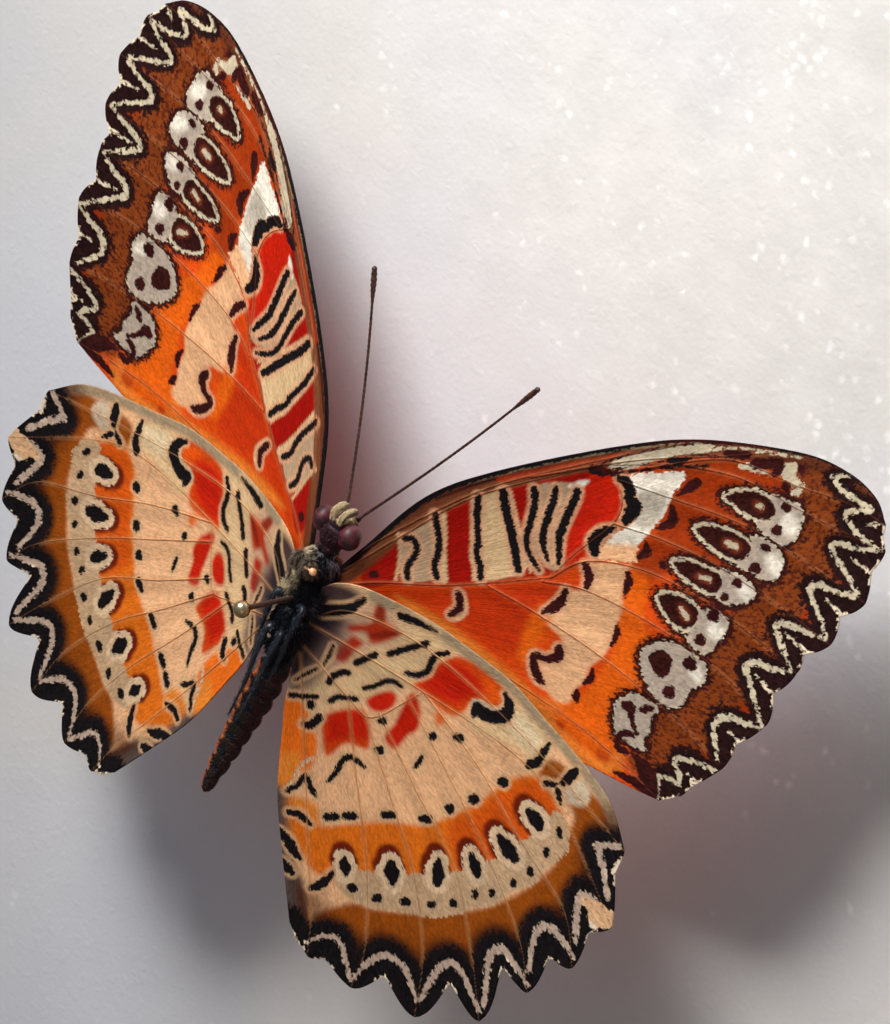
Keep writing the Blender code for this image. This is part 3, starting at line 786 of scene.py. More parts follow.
FOREWING_PALE_STROKES = {
    "costal chevron": ((0.2, 0.25), [(851, 474), (833, 478)]),
    "zigzag 1": ((0.21, 0.25, 0.19), [(833, 478), (841, 489), (855, 499), (870, 508)]),
    "zigzag 2": ((0.14, 0.23, 0.23, 0.23, 0.14), [(873, 511), (855, 511), (845, 515), (853, 528), (864, 538),
        (877, 549)]),
    "zigzag 3": ((0.14, 0.25, 0.25, 0.25, 0.14), [(878, 551), (859, 549), (842, 544), (832, 546), (836, 558),
        (846, 573), (858, 594)]),
    "zigzag 4": ((0.14, 0.27, 0.27, 0.25, 0.14), [(860, 597), (841, 593), (820, 585), (809, 588), (812, 599),
        (819, 614), (826, 636)]),
    "zigzag 5": ((0.14, 0.27, 0.27, 0.25, 0.14), [(826, 639), (808, 633), (790, 626), (776, 624), (777, 635),
        (784, 651), (792, 671)]),
    "zigzag 6": ((0.14, 0.29, 0.33, 0.25, 0.14), [(792, 672), (772, 669), (756, 662), (746, 667), (749, 680),
        (754, 698), (762, 725)]),
    "zigzag 7": ((0.14, 0.29, 0.33, 0.25, 0.15), [(762, 728), (743, 723), (726, 717), (714, 724), (714, 736),
        (718, 759)]),
    "zigzag 8": ((0.15, 0.25, 0.25, 0.21), [(716, 771), (701, 765), (680, 758), (675, 764), (679, 774),
        (680, 784)]),
    "zigzag 9": ((0.21, 0.21, 0.19), [(680, 784), (669, 779), (658, 776), (658, 786), (658, 798)]),
    "notch 1": ((0.2, 0.08), [(877, 525), (866, 525)]),
    "notch 2": ((0.2, 0.08), [(871, 574), (851, 559)]),
    "notch 3": ((0.2, 0.08), [(842, 615), (826, 599)]),
    "notch 4": ((0.2, 0.08), [(805, 652), (786, 634)]),
    "notch 5": ((0.2, 0.08), [(770, 692), (756, 676)]),
    "notch 6": ((0.2, 0.08), [(740, 744), (728, 731)]),
    "notch 7": ((0.2, 0.08), [(695, 782), (687, 774)]),
    "costal streak": ((0.1, 0.16, 0.16, 0.08), [(694, 449), (731, 448), (757, 450), (802, 458)]),
    "costal line": ((0.05, 0.1, 0.1, 0.06), [(500, 466), (560, 454), (620, 446), (690, 439)]),
    "notch 8": ((0.16, 0.07), [(692, 787), (688, 778)]),
    "grey before the apex": ((0.25, 0.4), [(803, 487), (796, 492)]),
}

# Eyespots: outline, then the half width and the line of the pale pupil
EYESPOTS = {
    "eyespot 1": ([(725, 498), (730, 494), (739, 492), (756, 492), (769, 499), (775, 508), (771, 519),
        (761, 520), (746, 513), (736, 506)], 0.17, [(757, 505), (761, 507)]),
    "eyespot 2": ([(695, 529), (708, 526), (725, 530), (741, 537), (750, 548), (746, 557), (737, 561),
        (724, 555), (709, 544)], 0.2, [(726, 543), (736, 547)]),
    "eyespot 3": ([(673, 562), (690, 562), (704, 567), (718, 574), (722, 582), (718, 591), (711, 593),
        (699, 587), (683, 576)], 0.16, [(699, 576), (709, 580)]),
    "eyespot 4": ([(658, 596), (673, 594), (688, 601), (697, 610), (696, 622), (686, 629), (674, 624),
        (663, 610)], 0.22, [(681, 609), (686, 617)]),
    "eyespot 5": ([(648, 657), (653, 651), (664, 651), (672, 660), (669, 672), (661, 678),
        (653, 671)], 0, None),
}
EYESPOT_RING = 0.27
EYESPOT_HALO = 0.5
ZIGZAG_WEIGHT = 0.8

# Dark marks with a crisp edge: half widths and line
FOREWING_DARK = {
    "bar 1": ((0.27,), [(406, 539), (413, 539), (417, 548), (413, 558), (407, 567), (408, 578)]),
    "bar 2": ((0.28,), [(436, 515), (437, 524), (439, 541), (437, 554), (434, 567), (437, 577)]),
    "bar 3": ((0.29,), [(479, 497), (477, 513), (477, 530), (478, 543), (476, 552), (480, 567), (481, 578)]),
    "bar 4": ((0.38, 0.38, 0.38, 0.35), [(504, 492), (505, 508), (510, 527), (514, 547), (518, 569)]),
    "bar 5": ((0.31, 0.31, 0.29, 0.18), [(535, 490), (534, 508), (529, 526), (526, 541), (529, 554),
        (539, 570)]),
    "bar 6": ((0.27, 0.32, 0.32, 0.16), [(556, 489), (553, 502), (547, 519), (543, 532), (543, 546),
        (548, 562)]),
    "bar 7": ((0.31, 0.35, 0.35, 0.2), [(577, 491), (573, 503), (564, 522), (559, 537), (559, 551),
        (559, 563)]),
    "hook upper": ((0.33, 0.47, 0.44), [(621, 479), (627, 483), (631, 492)]),
    "hook middle": ((0.4, 0.62, 0.6, 0.36), [(629, 497), (634, 506), (631, 514), (626, 522)]),
    "hook lower": ((0.22, 0.46, 0.53, 0.44), [(614, 528), (602, 533), (594, 542), (595, 552)]),
    "root dot": ((0.33,), [(373, 574), (375, 574)]),
    "radial blotch": ((0.36, 0.4, 0.22, 0.13), [(592, 469), (600, 471), (614, 473), (631, 471)]),
    "radial line": ((0.13,), [(631, 471), (664, 468), (709, 466)]),
    "costal line 1": ((0.07,), [(594, 467), (622, 457), (664, 447), (712, 443), (760, 447)]),
    "costal line 2": ((0.07,), [(606, 471), (664, 461), (700, 455), (740, 462)]),
    "radial spot": ((0.22, 0.4, 0.15), [(669, 461), (678, 461), (691, 458)]),
    "band spot 1": ((0.36, 0.44, 0.27, 0.07), [(697, 483), (692, 486), (686, 490), (676, 496)]),
    "band spot 2": ((0.2, 0.46, 0.4, 0.09), [(672, 507), (673, 518), (668, 524), (656, 528)]),
    "band spot 3": ((0.24, 0.42, 0.27), [(646, 544), (646, 552), (639, 557)]),
    "band spot 4": ((0.24, 0.33), [(661, 562), (664, 566)]),
    "crescent 1": ((0.33, 0.4, 0.27), [(586, 566), (589, 576), (587, 587)]),
    "crescent 2": ((0.27, 0.4, 0.4, 0.2), [(566, 591), (561, 601), (553, 608), (544, 612)]),
    "crescent 3": ((0.27, 0.38, 0.29, 0.16), [(628, 573), (629, 581), (626, 588), (625, 596)]),
    "crescent 4": ((0.13, 0.31, 0.27, 0.15), [(617, 624), (617, 633), (614, 639), (611, 645)]),
    "crescent 5": ((0.13, 0.35, 0.18), [(592, 669), (591, 678), (584, 683)]),
    "crescent 6": ((0.13, 0.44, 0.31), [(577, 689), (576, 697), (576, 699)]),
    "anal hook": ((0.42, 0.46, 0.29, 0.31, 0.42, 0.39, 0.17), [(559, 650), (558, 656), (546, 659), (534, 656),
        (534, 668), (538, 677), (543, 684)]),
    "cubital mark": ((0.29, 0.36, 0.24), [(459, 594), (459, 608), (450, 615)]),
    "eyespot 6 upper": ((0.3, 0.52, 0.4), [(624, 705), (628, 707), (632, 710)]),
    "eyespot 6 link": ((0.34, 0.24, 0.2), [(630, 712), (632, 723), (636, 734)]),
    "eyespot 6 side": ((0.2, 0.36, 0.25), [(641, 710), (646, 709), (652, 708)]),
    "eyespot 6 arc": ((0.32, 0.3, 0.3, 0.2), [(617, 746), (619, 735), (626, 733), (633, 736)]),
    "eyespot 6 lower": ((0.34, 0.3), [(620, 749), (626, 752)]),
    "tornal blotch": ((0.3, 0.7, 0.74, 0.5), [(636, 757), (643, 768), (649, 779), (654, 792)]),
    "tornal wedge": ((0.14, 0.34, 0.36, 0.15), [(614, 771), (627, 778), (641, 786), (654, 797)]),
    "dot 1a": ((0.3, 0.37), [(785, 507), (787, 507)]),
    "dot 1b": ((0.36, 0.44), [(775, 531), (777, 531)]),
    "dot 2a": ((0.33, 0.41), [(764, 548), (766, 548)]),
    "dot 2b": ((0.38, 0.46), [(753, 568), (755, 568)]),
    "dot 3a": ((0.33, 0.41), [(736, 583), (738, 583)]),
    "dot 3b": ((0.26, 0.32), [(723, 597), (725, 597)]),
    "dot 4a": ((0.42, 0.52), [(712, 616), (714, 616)]),
    "dot 4b": ((0.38, 0.48), [(698, 640), (700, 640)]),
    "dot 5a": ((0.5, 0.61), [(688, 664), (690, 664)]),
    "dot 5b": ((0.45, 0.54), [(667, 692), (669, 692)]),
    "costal dark 1": ((0.33, 0.33), [(728, 454), (749, 455)]),
    "costal dark 2": ((0.4, 0.46, 0.3), [(756, 464), (779, 464), (775, 474)]),
    "costal dark 3": ((0.28,), [(801, 469), (801, 471)]),
    "costal dark 4": ((0.37, 0.2), [(786, 487), (787, 491)]),
}

# White blotches that brighten a pale area: (half width, line)
FOREWING_WHITE = [
    (0.75, [(789, 523), (791, 526)]),
    (0.7, [(773, 562), (776, 568)]),
    (0.6, [(744, 591), (747, 593)]),
    (0.65, [(714, 630), (718, 632)]),
    (0.9, [(640, 480), (676, 478)]),
    (0.5, [(694, 671), (697, 676)]),
]
FOREWING_PEACH_END = [(0.9, [(606, 555), (632, 556)])]
FOREWING_GREY = [(1.1, [(655, 492), (645, 515)])]
print("forewing marks:", len(FOREWING_DARK) + len(FOREWING_PALE_PATCHES) + len(FOREWING_PALE_STROKES))

# %% [markdown]
# The hindwing's underside has cream and black bars near the body, red patches, a peach disc with
# small dots, an orange band, a row of black drops ringed with cream, an ochre band, and deep arches
# along the scalloped margin.

# %% Hindwing ground, then its pale and its dark marks
HINDWING_GROUND = [
    (CREAM, 1.2, [(278, 606), (372, 590), (438, 628), (452, 652), (412, 684), (398, 694), (348, 704),
        (285, 708)]),
    (PEACH, 1.5, [(345, 740), (470, 715), (560, 775), (500, 830), (345, 830)]),
    ((200, 158, 124), 1.5, [(340, 610), (375, 600), (400, 612), (395, 640), (360, 655), (335, 672),
        (318, 660)]),
    ((186, 52, 18), 0.6, [(348, 625), (371, 623), (375, 609), (381, 602), (387, 621), (401, 633), (386, 641),
        (371, 643), (365, 632), (350, 632)]),
    ((138, 44, 20), 0.5, [(376, 612), (381, 600), (386, 612), (384, 622), (377, 622)]),
    ((136, 32, 14), 0.5, [(370, 634), (386, 631), (403, 633), (388, 637), (373, 638)]),
    ((176, 42, 16), 0.6, [(346, 641), (353, 636), (363, 643), (357, 649), (344, 662), (333, 657),
        (333, 650)]),
    # The next three grey-mauve patches beside the body are partly the wing's own grey scales and partly
    # painted shade, where the body shades the roots of the wings.
    ((104, 80, 74), 1.8, [(318, 628), (345, 618), (344, 642), (326, 670), (300, 696), (286, 690)]),
    ((74, 54, 52), 0.9, [(318, 582), (345, 586), (362, 597), (352, 604), (322, 606)]),
    ((50, 38, 42), 1.1, [(318, 606), (337, 614), (340, 624), (325, 640), (308, 664), (294, 682), (290, 660)]),
    ((206, 66, 8), 0.5, [(325, 716), (363, 712), (369, 748), (346, 743), (327, 756), (322, 737)]),
    (CELL_RED, 1.0, [(330, 714), (363, 711), (367, 738), (346, 738), (329, 742), (326, 730)]),
    (CELL_RED, 0.5, [(367, 699), (386, 691), (396, 695), (394, 706), (382, 712), (371, 709)]),
    (CELL_RED, 0.5, [(410, 694), (417, 696), (421, 716), (417, 730), (408, 735), (397, 748), (390, 746),
        (385, 736), (394, 725), (402, 709)]),
    (ORANGE, 0.5, [(414, 685), (438, 664), (454, 657), (480, 664), (500, 684), (508, 692), (497, 708),
        (477, 700), (457, 716), (437, 706), (425, 692)]),
    (CELL_RED, 1.4, [(420, 685), (441, 664), (456, 660), (474, 672), (484, 690), (470, 700), (457, 706),
        (440, 700)]),
    (BRIGHT_ORANGE, 0.8, [(436, 712), (443, 714), (445, 722), (437, 724)]),
    ((240, 112, 24), 0.6, [(277, 700), (300, 698), (317, 740), (308, 772), (283, 792), (270, 777)]),
    (YELLOW_ORANGE, 0.8, [(270, 797), (315, 803), (317, 843), (298, 862), (272, 820)]),
    (YELLOW_ORANGE, 0.8, [(275, 760), (298, 752), (300, 775), (280, 800)]),
    ((226, 112, 22), 0.7, [(285, 803), (315, 825), (348, 824), (388, 822), (425, 825), (452, 815), (478, 803),
        (505, 782), (532, 776), (556, 790), (560, 830), (545, 860), (500, 884), (460, 892), (392, 892),
        (335, 884), (315, 872), (302, 853)]),
    ((218, 88, 12), 1.1, [(448, 828), (478, 808), (508, 787), (532, 779), (549, 790), (560, 812), (540, 850),
        (500, 872), (466, 875)]),
    (OCHRE, 0.8, [(315, 917), (352, 903), (375, 909), (425, 914), (465, 911), (498, 903), (532, 884),
        (555, 863), (572, 826), (580, 800), (602, 803), (616, 830), (612, 860), (596, 892), (562, 918),
        (532, 936), (498, 953), (465, 966), (415, 966), (375, 958), (336, 946)]),
    ((228, 200, 150), 0.6, [(300, 926), (307, 923), (313, 927), (308, 932), (300, 931)]),
    (YELLOW_ORANGE, 0.5, [(548, 946), (553, 950), (553, 960), (548, 956)]),
    ((120, 60, 20), 0.8, [(574, 806), (586, 806), (588, 815), (578, 817)]),
    (CREAM, 0.7, [(495, 713), (518, 707), (542, 730), (550, 752), (532, 760), (512, 746), (478, 732),
        (468, 718)]),
    (OCHRE, 0.7, [(538, 767), (555, 760), (575, 777), (595, 797), (610, 819), (588, 824), (565, 803),
        (548, 790)]),
    ((208, 184, 154), 0.5, [(564, 786), (581, 779), (590, 792), (586, 806), (568, 803)]),
    ((232, 206, 164), 1.0, [(508, 716), (522, 716), (545, 744), (548, 752), (534, 752), (514, 736)]),
    ((66, 54, 50), 0.9, [(277, 836), (294, 862), (304, 886), (309, 914), (310, 946), (286, 944), (274, 880)]),
]
HINDWING_PALE_PATCHES = {
    "under the drops": ((198, 162, 124), [(334, 879), (346, 872), (367, 871), (391, 876), (414, 873),
        (437, 876), (456, 871), (474, 870), (488, 861), (507, 856), (521, 842), (541, 828), (555, 810),
        (568, 826), (567, 852), (546, 868), (534, 884), (512, 892), (494, 905), (472, 909), (452, 916),
        (425, 917), (398, 911), (372, 908), (346, 897)]),
    "lobe of the margin": ((230, 182, 136), [(583, 900), (592, 902), (606, 907), (616, 916), (615, 927),
        (603, 929), (591, 927), (587, 914)]),
    "costal notch": ((226, 206, 176), [(611, 873), (617, 862), (623, 856), (620, 868), (614, 876)]),
}
HINDWING_PALE_STROKES = {
    "arch 1": ((0.15, 0.27, 0.29, 0.27, 0.17), [(354, 977), (369, 962), (386, 955), (402, 966), (411, 984),
        (417, 1000)]),
    "arch 2": ((0.19, 0.31, 0.31, 0.19), [(419, 1001), (427, 988), (435, 974), (446, 963), (455, 965),
        (465, 979), (473, 997), (479, 1011)]),
    "arch 3": ((0.2, 0.33, 0.33, 0.2), [(484, 1005), (486, 982), (488, 962), (493, 951), (502, 949),
        (512, 961), (521, 974), (528, 985)]),
    "arch 4": ((0.2, 0.33, 0.33, 0.2), [(529, 972), (532, 947), (537, 931), (547, 926), (557, 934),
        (567, 946), (574, 956)]),
    "arch 5": ((0.2, 0.33, 0.33, 0.2), [(576, 942), (576, 919), (579, 899), (584, 895), (596, 902),
        (608, 915)]),
    "arch 6": ((0.19, 0.31, 0.31, 0.19), [(608, 898), (604, 874), (599, 853), (598, 846), (620, 846)]),
    "arch 0": ((0.1, 0.2, 0.25, 0.25, 0.15), [(306, 942), (318, 937), (332, 937), (340, 943), (345, 960),
        (351, 979)]),
    "arch 6 leg": ((0.16, 0.14), [(598, 851), (607, 897)]),
    "border of squiggle": ((0.14,), [(472, 706), (477, 701), (488, 707), (497, 709), (501, 703)]),
    "border of bar C": ((0.12,), [(312, 758), (301, 766), (290, 786)]),
}
HINDWING_DROPS = {
    "drop 6": ((0.3, 0.48, 0.5, 0.25), [(344, 860), (344, 864), (345, 868), (345, 874)]),
    "drop 5": ((0.39, 0.71, 0.68, 0.29), [(391, 864), (391, 870), (392, 876), (392, 884)]),
    "drop 4": ((0.22, 0.52, 0.66, 0.48), [(439, 860), (438, 867), (438, 874), (437, 881)]),
    "drop 3": ((0.26, 0.46, 0.58, 0.4), [(471, 855), (473, 861), (475, 867), (477, 874)]),
    "drop 2": ((0.3, 0.6, 0.74, 0.52), [(499, 837), (504, 844), (509, 851), (514, 857)]),
    "drop 1": ((0.36, 0.6, 0.66, 0.42), [(529, 812), (533, 817), (537, 822), (539, 827)]),
}
HINDWING_DARK = {
    "base 1": ((0.38, 0.33, 0.14), [(401, 616), (417, 622), (437, 632)]),
    "base 2": ((0.28,), [(389, 654), (402, 650), (414, 647), (427, 643)]),
    "base 3": ((0.28,), [(356, 663), (365, 659), (375, 655)]),
    "base 4": ((0.28,), [(329, 682), (335, 675), (344, 672), (348, 673)]),
    "squiggle A": ((0.19, 0.28, 0.28, 0.28, 0.28, 0.21), [(406, 673), (417, 675), (427, 671), (432, 661),
        (438, 655), (448, 653)]),
    "bar A": ((0.22,), [(364, 688), (372, 687), (381, 683), (388, 681), (395, 682), (401, 686)]),
    "bar B": ((0.23,), [(330, 701), (338, 697), (348, 698), (357, 699)]),
    "bar C": ((0.22,), [(291, 695), (304, 696), (316, 697)]),
    "spot C": ((0.31, 0.35), [(311, 703), (311, 705)]),
    "bar D": ((0.26, 0.36, 0.31), [(304, 724), (311, 725), (319, 717)]),
    "dot 1": ((0.28, 0.35), [(381, 721), (383, 721)]),
    "dot 2": ((0.29, 0.36), [(378, 750), (380, 750)]),
    "dot 3": ((0.28, 0.35), [(431, 736), (433, 736)]),
    "dot 4": ((0.34, 0.42), [(457, 737), (460, 738)]),
    "dot 6": ((0.37, 0.46), [(501, 782), (503, 782)]),
    "dot 7": ((0.39, 0.48), [(472, 799), (474, 799)]),
    "dot 8": ((0.35, 0.43), [(448, 808), (450, 809)]),
    "streak": ((0.17, 0.24, 0.16), [(422, 757), (418, 763), (415, 767)]),
    "arch A": ((0.17, 0.26, 0.26, 0.17), [(328, 781), (336, 772), (342, 761), (349, 757), (357, 760),
        (364, 767)]),
    "squiggle C": ((0.29, 0.58, 0.6, 0.53, 0.58, 0.43, 0.19), [(474, 714), (477, 709), (484, 714), (496, 717),
        (506, 715), (509, 704), (505, 694)]),
    "base 0": ((0.5, 0.5, 0.42, 0.24), [(322, 610), (338, 610), (351, 608), (364, 600)]),
    "root line 1": ((0.14, 0.18, 0.1), [(333, 646), (329, 656), (324, 665)]),
    "root line 2": ((0.1, 0.16, 0.1), [(296, 680), (308, 673), (318, 668)]),
    "costal V": ((0.41, 0.37, 0.29, 0.17), [(530, 765), (538, 762), (544, 752), (549, 744)]),
    "costal dash": ((0.29, 0.44, 0.48, 0.29), [(563, 783), (568, 779), (572, 775), (576, 771)]),
    "costal dash 2": ((0.29, 0.23), [(546, 783), (555, 785)]),
    "costal dash 3": ((0.3, 0.2), [(558, 792), (561, 803)]),
    "inner V": ((0.19, 0.25, 0.25, 0.25, 0.19), [(287, 791), (299, 784), (306, 776), (311, 787), (316, 796)]),
    "inner line": ((0.23, 0.33, 0.29, 0.19), [(289, 812), (299, 814), (305, 819), (310, 824)]),
    "inner dot 1": ((0.34,), [(326, 817), (336, 817)]),
    "inner dot 2": ((0.34,), [(345, 816), (354, 816)]),
    "inner dot 3": ((0.34,), [(384, 815), (392, 815)]),
    "inner dot 4": ((0.34,), [(422, 819), (429, 819)]),
    "inner streak": ((0.25, 0.39, 0.35, 0.23), [(311, 888), (317, 886), (324, 882), (332, 873)]),
    "edge streak 1": ((0.29, 0.42, 0.39, 0.19), [(280, 831), (289, 842), (294, 851), (301, 859)]),
    "edge streak 2": ((0.29, 0.39, 0.23), [(283, 861), (287, 867), (292, 873)]),
    "lower dot 1": ((0.39, 0.48), [(350, 888), (353, 888)]),
    "lower dot 2": ((0.37, 0.46), [(375, 898), (378, 898)]),
    "lower dot 3": ((0.39, 0.48), [(403, 902), (406, 902)]),
    "lower dot 4": ((0.32, 0.41), [(430, 905), (432, 905)]),
    "lower dot 5": ((0.35, 0.43), [(452, 904), (454, 903)]),
    "lower dot 6": ((0.37,), [(475, 893), (475, 896)]),
    "lower dot 7": ((0.37,), [(492, 892), (492, 894)]),
    "lower dot 8": ((0.37,), [(513, 882), (513, 884)]),
    "lower dot 9": ((0.37,), [(530, 870), (530, 873)]),
    "lower dot 10": ((0.39,), [(546, 851), (546, 854)]),
    "lower dot 11": ((0.35,), [(559, 830), (559, 836)]),
}
DROP_LOBE = 0.6
DROP_BROW = 0.5
print("hindwing marks:", len(HINDWING_DARK) + len(HINDWING_PALE_STROKES) + len(HINDWING_DROPS))

# %% [markdown]
# Painting order is ground first, then the dark halos, then the pale marks, then the dark ones, as
# the scales overlap on the wing. Ground and tints are colours on the points of the mesh. The pale
# and dark marks are depths, which the material turns into crisp, slightly ragged edges.

# %% Painting the undersides
PALE_GROUND = (206, 190, 160)
HALO_BROWN = (34, 12, 12)
EYESPOT_BROWN = (50, 16, 12)
ZIGZAG_HALO = 0.75
ARCH_HALO = 1.1
BORDER = 0.3
BORDERED = ("bar", "hook", "crescent 1", "crescent 2", "anal", "cubital")


def even(colour, count):
    """One colour for this many points, in linear values."""
    return np.tile(linear(colour), (count, 1))


def store_number(mesh, name, values):
    mesh.attributes.new(name, "FLOAT", "POINT").data.foreach_set("value", values)


def store_colour(mesh, name, colours):
    layer = mesh.color_attributes.new(name, "FLOAT_COLOR", "POINT")
    layer.data.foreach_set("color", np.column_stack([colours, np.ones(len(colours))]).ravel())


class Coat:
    """What the points of a wing carry for one of its sides. Marks are given in pixels of the photo."""

    def __init__(self, places, base, lift=0.0):
        self.places = places
        self.lift = lift
        self.ground, self.pale_tint, self.dark_tint = [
            even(colour, len(places)) for colour in (base, PALE_GROUND, BLACK)]
        self.pale, self.dark, self.halo = [np.full(len(places), -REACH) for _ in range(3)]
        self.mottle = np.zeros(len(places))

    def seen(self, pixels):
        return on_wing(pixels, self.lift)

    def stroke(self, pixels, widths):
        return depth_in_stroke(self.places, self.seen(pixels), widths)

    def patch(self, pixels):
        return depth_in_patch(self.places, self.seen(pixels))

    def fill(self, pixels):
        """Depth inside the bend of a line, closed from its end to its start."""
        return depth_in_patch(self.places, smooth_line(self.seen(pixels), 2))

    def lighten(self, depth):
        self.pale = np.maximum(self.pale, depth)

    def darken(self, depth):
        self.dark = np.maximum(self.dark, depth)

    def darken_round(self, depth, colour):
        """A dark halo that reaches as far as this depth is more than nothing."""
        self.halo = np.maximum(self.halo, depth)
        paint(self.dark_tint, depth + 0.2, colour, 0.3)

    def fringe(self, notches, margin):
        """The pale scales that fringe the bottom of each bay of the margin."""
        for notch in notches:
            near = 0.95 - np.linalg.norm(self.places - notch, axis=1)
            paint(self.pale_tint, near, (236, 214, 184), 0.3)
            self.lighten(np.minimum(0.11 - margin, near))

    def store(self, mesh, side):
        for word in ("ground", "pale_tint", "dark_tint"):
            store_colour(mesh, f"{side}_{word}", getattr(self, word))
        for word in ("pale", "dark", "halo", "mottle"):
            store_number(mesh, f"{side}_{word}", getattr(self, word))


def paint_forewing_under(places, lift):
    coat = Coat(places, (222, 76, 12), lift)
    for colour, soft, corners in FOREWING_GROUND:
        paint(coat.ground, coat.patch(corners), colour, soft)
    costal_band = depth_in_stroke(places, FOREWING_COSTA, (1.5, 1.5, 1.4, 0.9, 0.5))
    paint(coat.ground, costal_band, (112, 58, 34), 0.5)
    for name, half in (("Sc", 0.14), ("R", 0.12)):
        vein = depth_in_stroke(places, FOREWING_VEINS[name], (half, half * 0.8))
        paint(coat.ground, vein, (58, 20, 16), 0.25)
    for colour, soft, widths, line in FOREWING_STRIPES:
        paint(coat.ground, coat.stroke(line, widths), colour, soft)
    margin = near_line(places, FOREWING_MARGIN)[0]
    coat.mottle = np.clip(coat.patch(FOREWING_GROUND[MOTTLED][2]) + 0.6, 0, 1)
    coat.darken_round(1.0 - margin, HALO_BROWN)
    for name, (widths, line) in FOREWING_PALE_STROKES.items():
        depth = coat.stroke(line, np.array(widths) * ZIGZAG_WEIGHT)
        coat.lighten(depth)
        if name.startswith(("zigzag", "costal chevron")):
            coat.darken_round(depth + ZIGZAG_HALO, HALO_BROWN)
        if name.startswith("zigzag"):
            coat.darken_round(coat.fill(line) + 0.3, HALO_BROWN)
    pale_areas = np.full(len(places), -REACH)
    for name, corners in FOREWING_PALE_PATCHES.items():
        depth = coat.patch(corners)
        coat.lighten(depth)
        if "eyespot" in name:
            pale_areas = np.maximum(pale_areas, depth)
            paint(coat.pale_tint, depth, (184, 166, 148), 0.3)
    coat.darken_round(pale_areas + EYESPOT_HALO, EYESPOT_BROWN)
    paint(coat.pale_tint, coat.patch(FOREWING_PALE_PATCHES["white band"]), WHITE, 0.2)
    for colour, spots in ((GREY, FOREWING_GREY), (PEACH, FOREWING_PEACH_END), (WHITE, FOREWING_WHITE)):
        for half, line in spots:
            paint(coat.pale_tint, coat.stroke(line, (half,)), colour, 0.7)
    for name, (widths, line) in FOREWING_DARK.items():
        depth = coat.stroke(line, widths)
        coat.darken(depth)
        colour = BLACK if name.startswith(("bar", "hook", "radial")) else MAROON
        paint(coat.dark_tint, depth + 0.3, colour, 0.2)
        if name.startswith(BORDERED):
            paint(coat.ground, depth + BORDER, (226, 168, 126), 0.24, 0.85)
    for outline, half, pupil in EYESPOTS.values():
        spot = coat.patch(outline)
        coat.lighten(spot + EYESPOT_RING)
        coat.darken(spot)
        paint(coat.dark_tint, spot + 0.3, (46, 16, 18), 0.2)
        coat.darken_round(spot + EYESPOT_RING + EYESPOT_HALO * 0.8, EYESPOT_BROWN)
        if pupil:
            middle = coat.stroke(pupil, (half, half * 1.2))
            paint(coat.dark_tint, middle + 0.25, (104, 40, 20), 0.35)
            coat.dark = np.minimum(coat.dark, -middle)
            coat.lighten(middle)
    coat.darken(depth_in_stroke(places, FOREWING_COSTA, (0.55, 0.42, 0.24, 0.14, 0.1)))
    coat.fringe(FOREWING_NOTCHES, margin)
    return coat


def paint_hindwing_under(places, lift):
    coat = Coat(places, PEACH, lift)
    for colour, soft, corners in HINDWING_GROUND:
        paint(coat.ground, coat.patch(corners), colour, soft)
    costa = near_line(places, smooth_line(HINDWING_COSTA, 4))[0]
    paint(coat.ground, np.minimum(0.85 - costa, places[:, 0] - 5.0), (170, 148, 116), 0.5, 0.9)
    margin = near_line(places, HINDWING_MARGIN)[0]
    paint(coat.ground, 3.6 - margin, (84, 38, 12), 1.8, 0.7)
    coat.darken_round(1.5 - margin, BLACK)
    inner = near_line(places, smooth_line(HINDWING_INNER, 4))[0]
    paint(coat.ground, np.minimum(0.8 - inner, -places[:, 1] - 14), (86, 70, 64), 1.2)
    for name, (widths, line) in HINDWING_PALE_STROKES.items():
        depth = coat.stroke(line, widths)
        coat.lighten(depth)
        if name.startswith("arch"):
            paint(coat.ground, depth + ARCH_HALO + 0.4, (60, 28, 12), 0.9, 0.8)
            coat.darken_round(depth + ARCH_HALO, BLACK)
            coat.darken_round(coat.fill(line) + 0.3, BLACK)
            paint(coat.pale_tint, depth + 0.2, (192, 166, 146), 0.3)
    for tint, corners in HINDWING_PALE_PATCHES.values():
        depth = coat.patch(corners)
        coat.lighten(depth)
        paint(coat.pale_tint, depth + 0.2, tint, 0.2)
    for widths, line in HINDWING_DROPS.values():
        drop = coat.seen(line)
        brow = drop * (1 - DROP_BROW / np.linalg.norm(drop, axis=1)[:, None])
        paint(coat.ground, depth_in_stroke(places, brow, widths) + DROP_LOBE + 0.18, (112, 30, 6), 0.4)
        depth = depth_in_stroke(places, drop, widths)
        coat.lighten(depth + DROP_LOBE)
        paint(coat.pale_tint, depth + DROP_LOBE, (222, 188, 150), 0.2)
        coat.darken(depth)
    for name, (widths, line) in HINDWING_DARK.items():
        depth = coat.stroke(line, np.array(widths) * (0.85 if "lower" in name else 1.0))
        coat.darken(depth)
        paint(coat.ground, depth + BORDER, (222, 176, 130), 0.24, 0.7)
    coat.fringe(HINDWING_NOTCHES, margin)
    return coat


# %% [markdown]
# The upper side faces the board here and shows only from below or behind, but a real specimen has
# one. It is brick orange with a black border, a chain of white chevrons in each bay, and on the
# forewing a black tip with a broken white band. Formulas place the chevrons from the same outline.

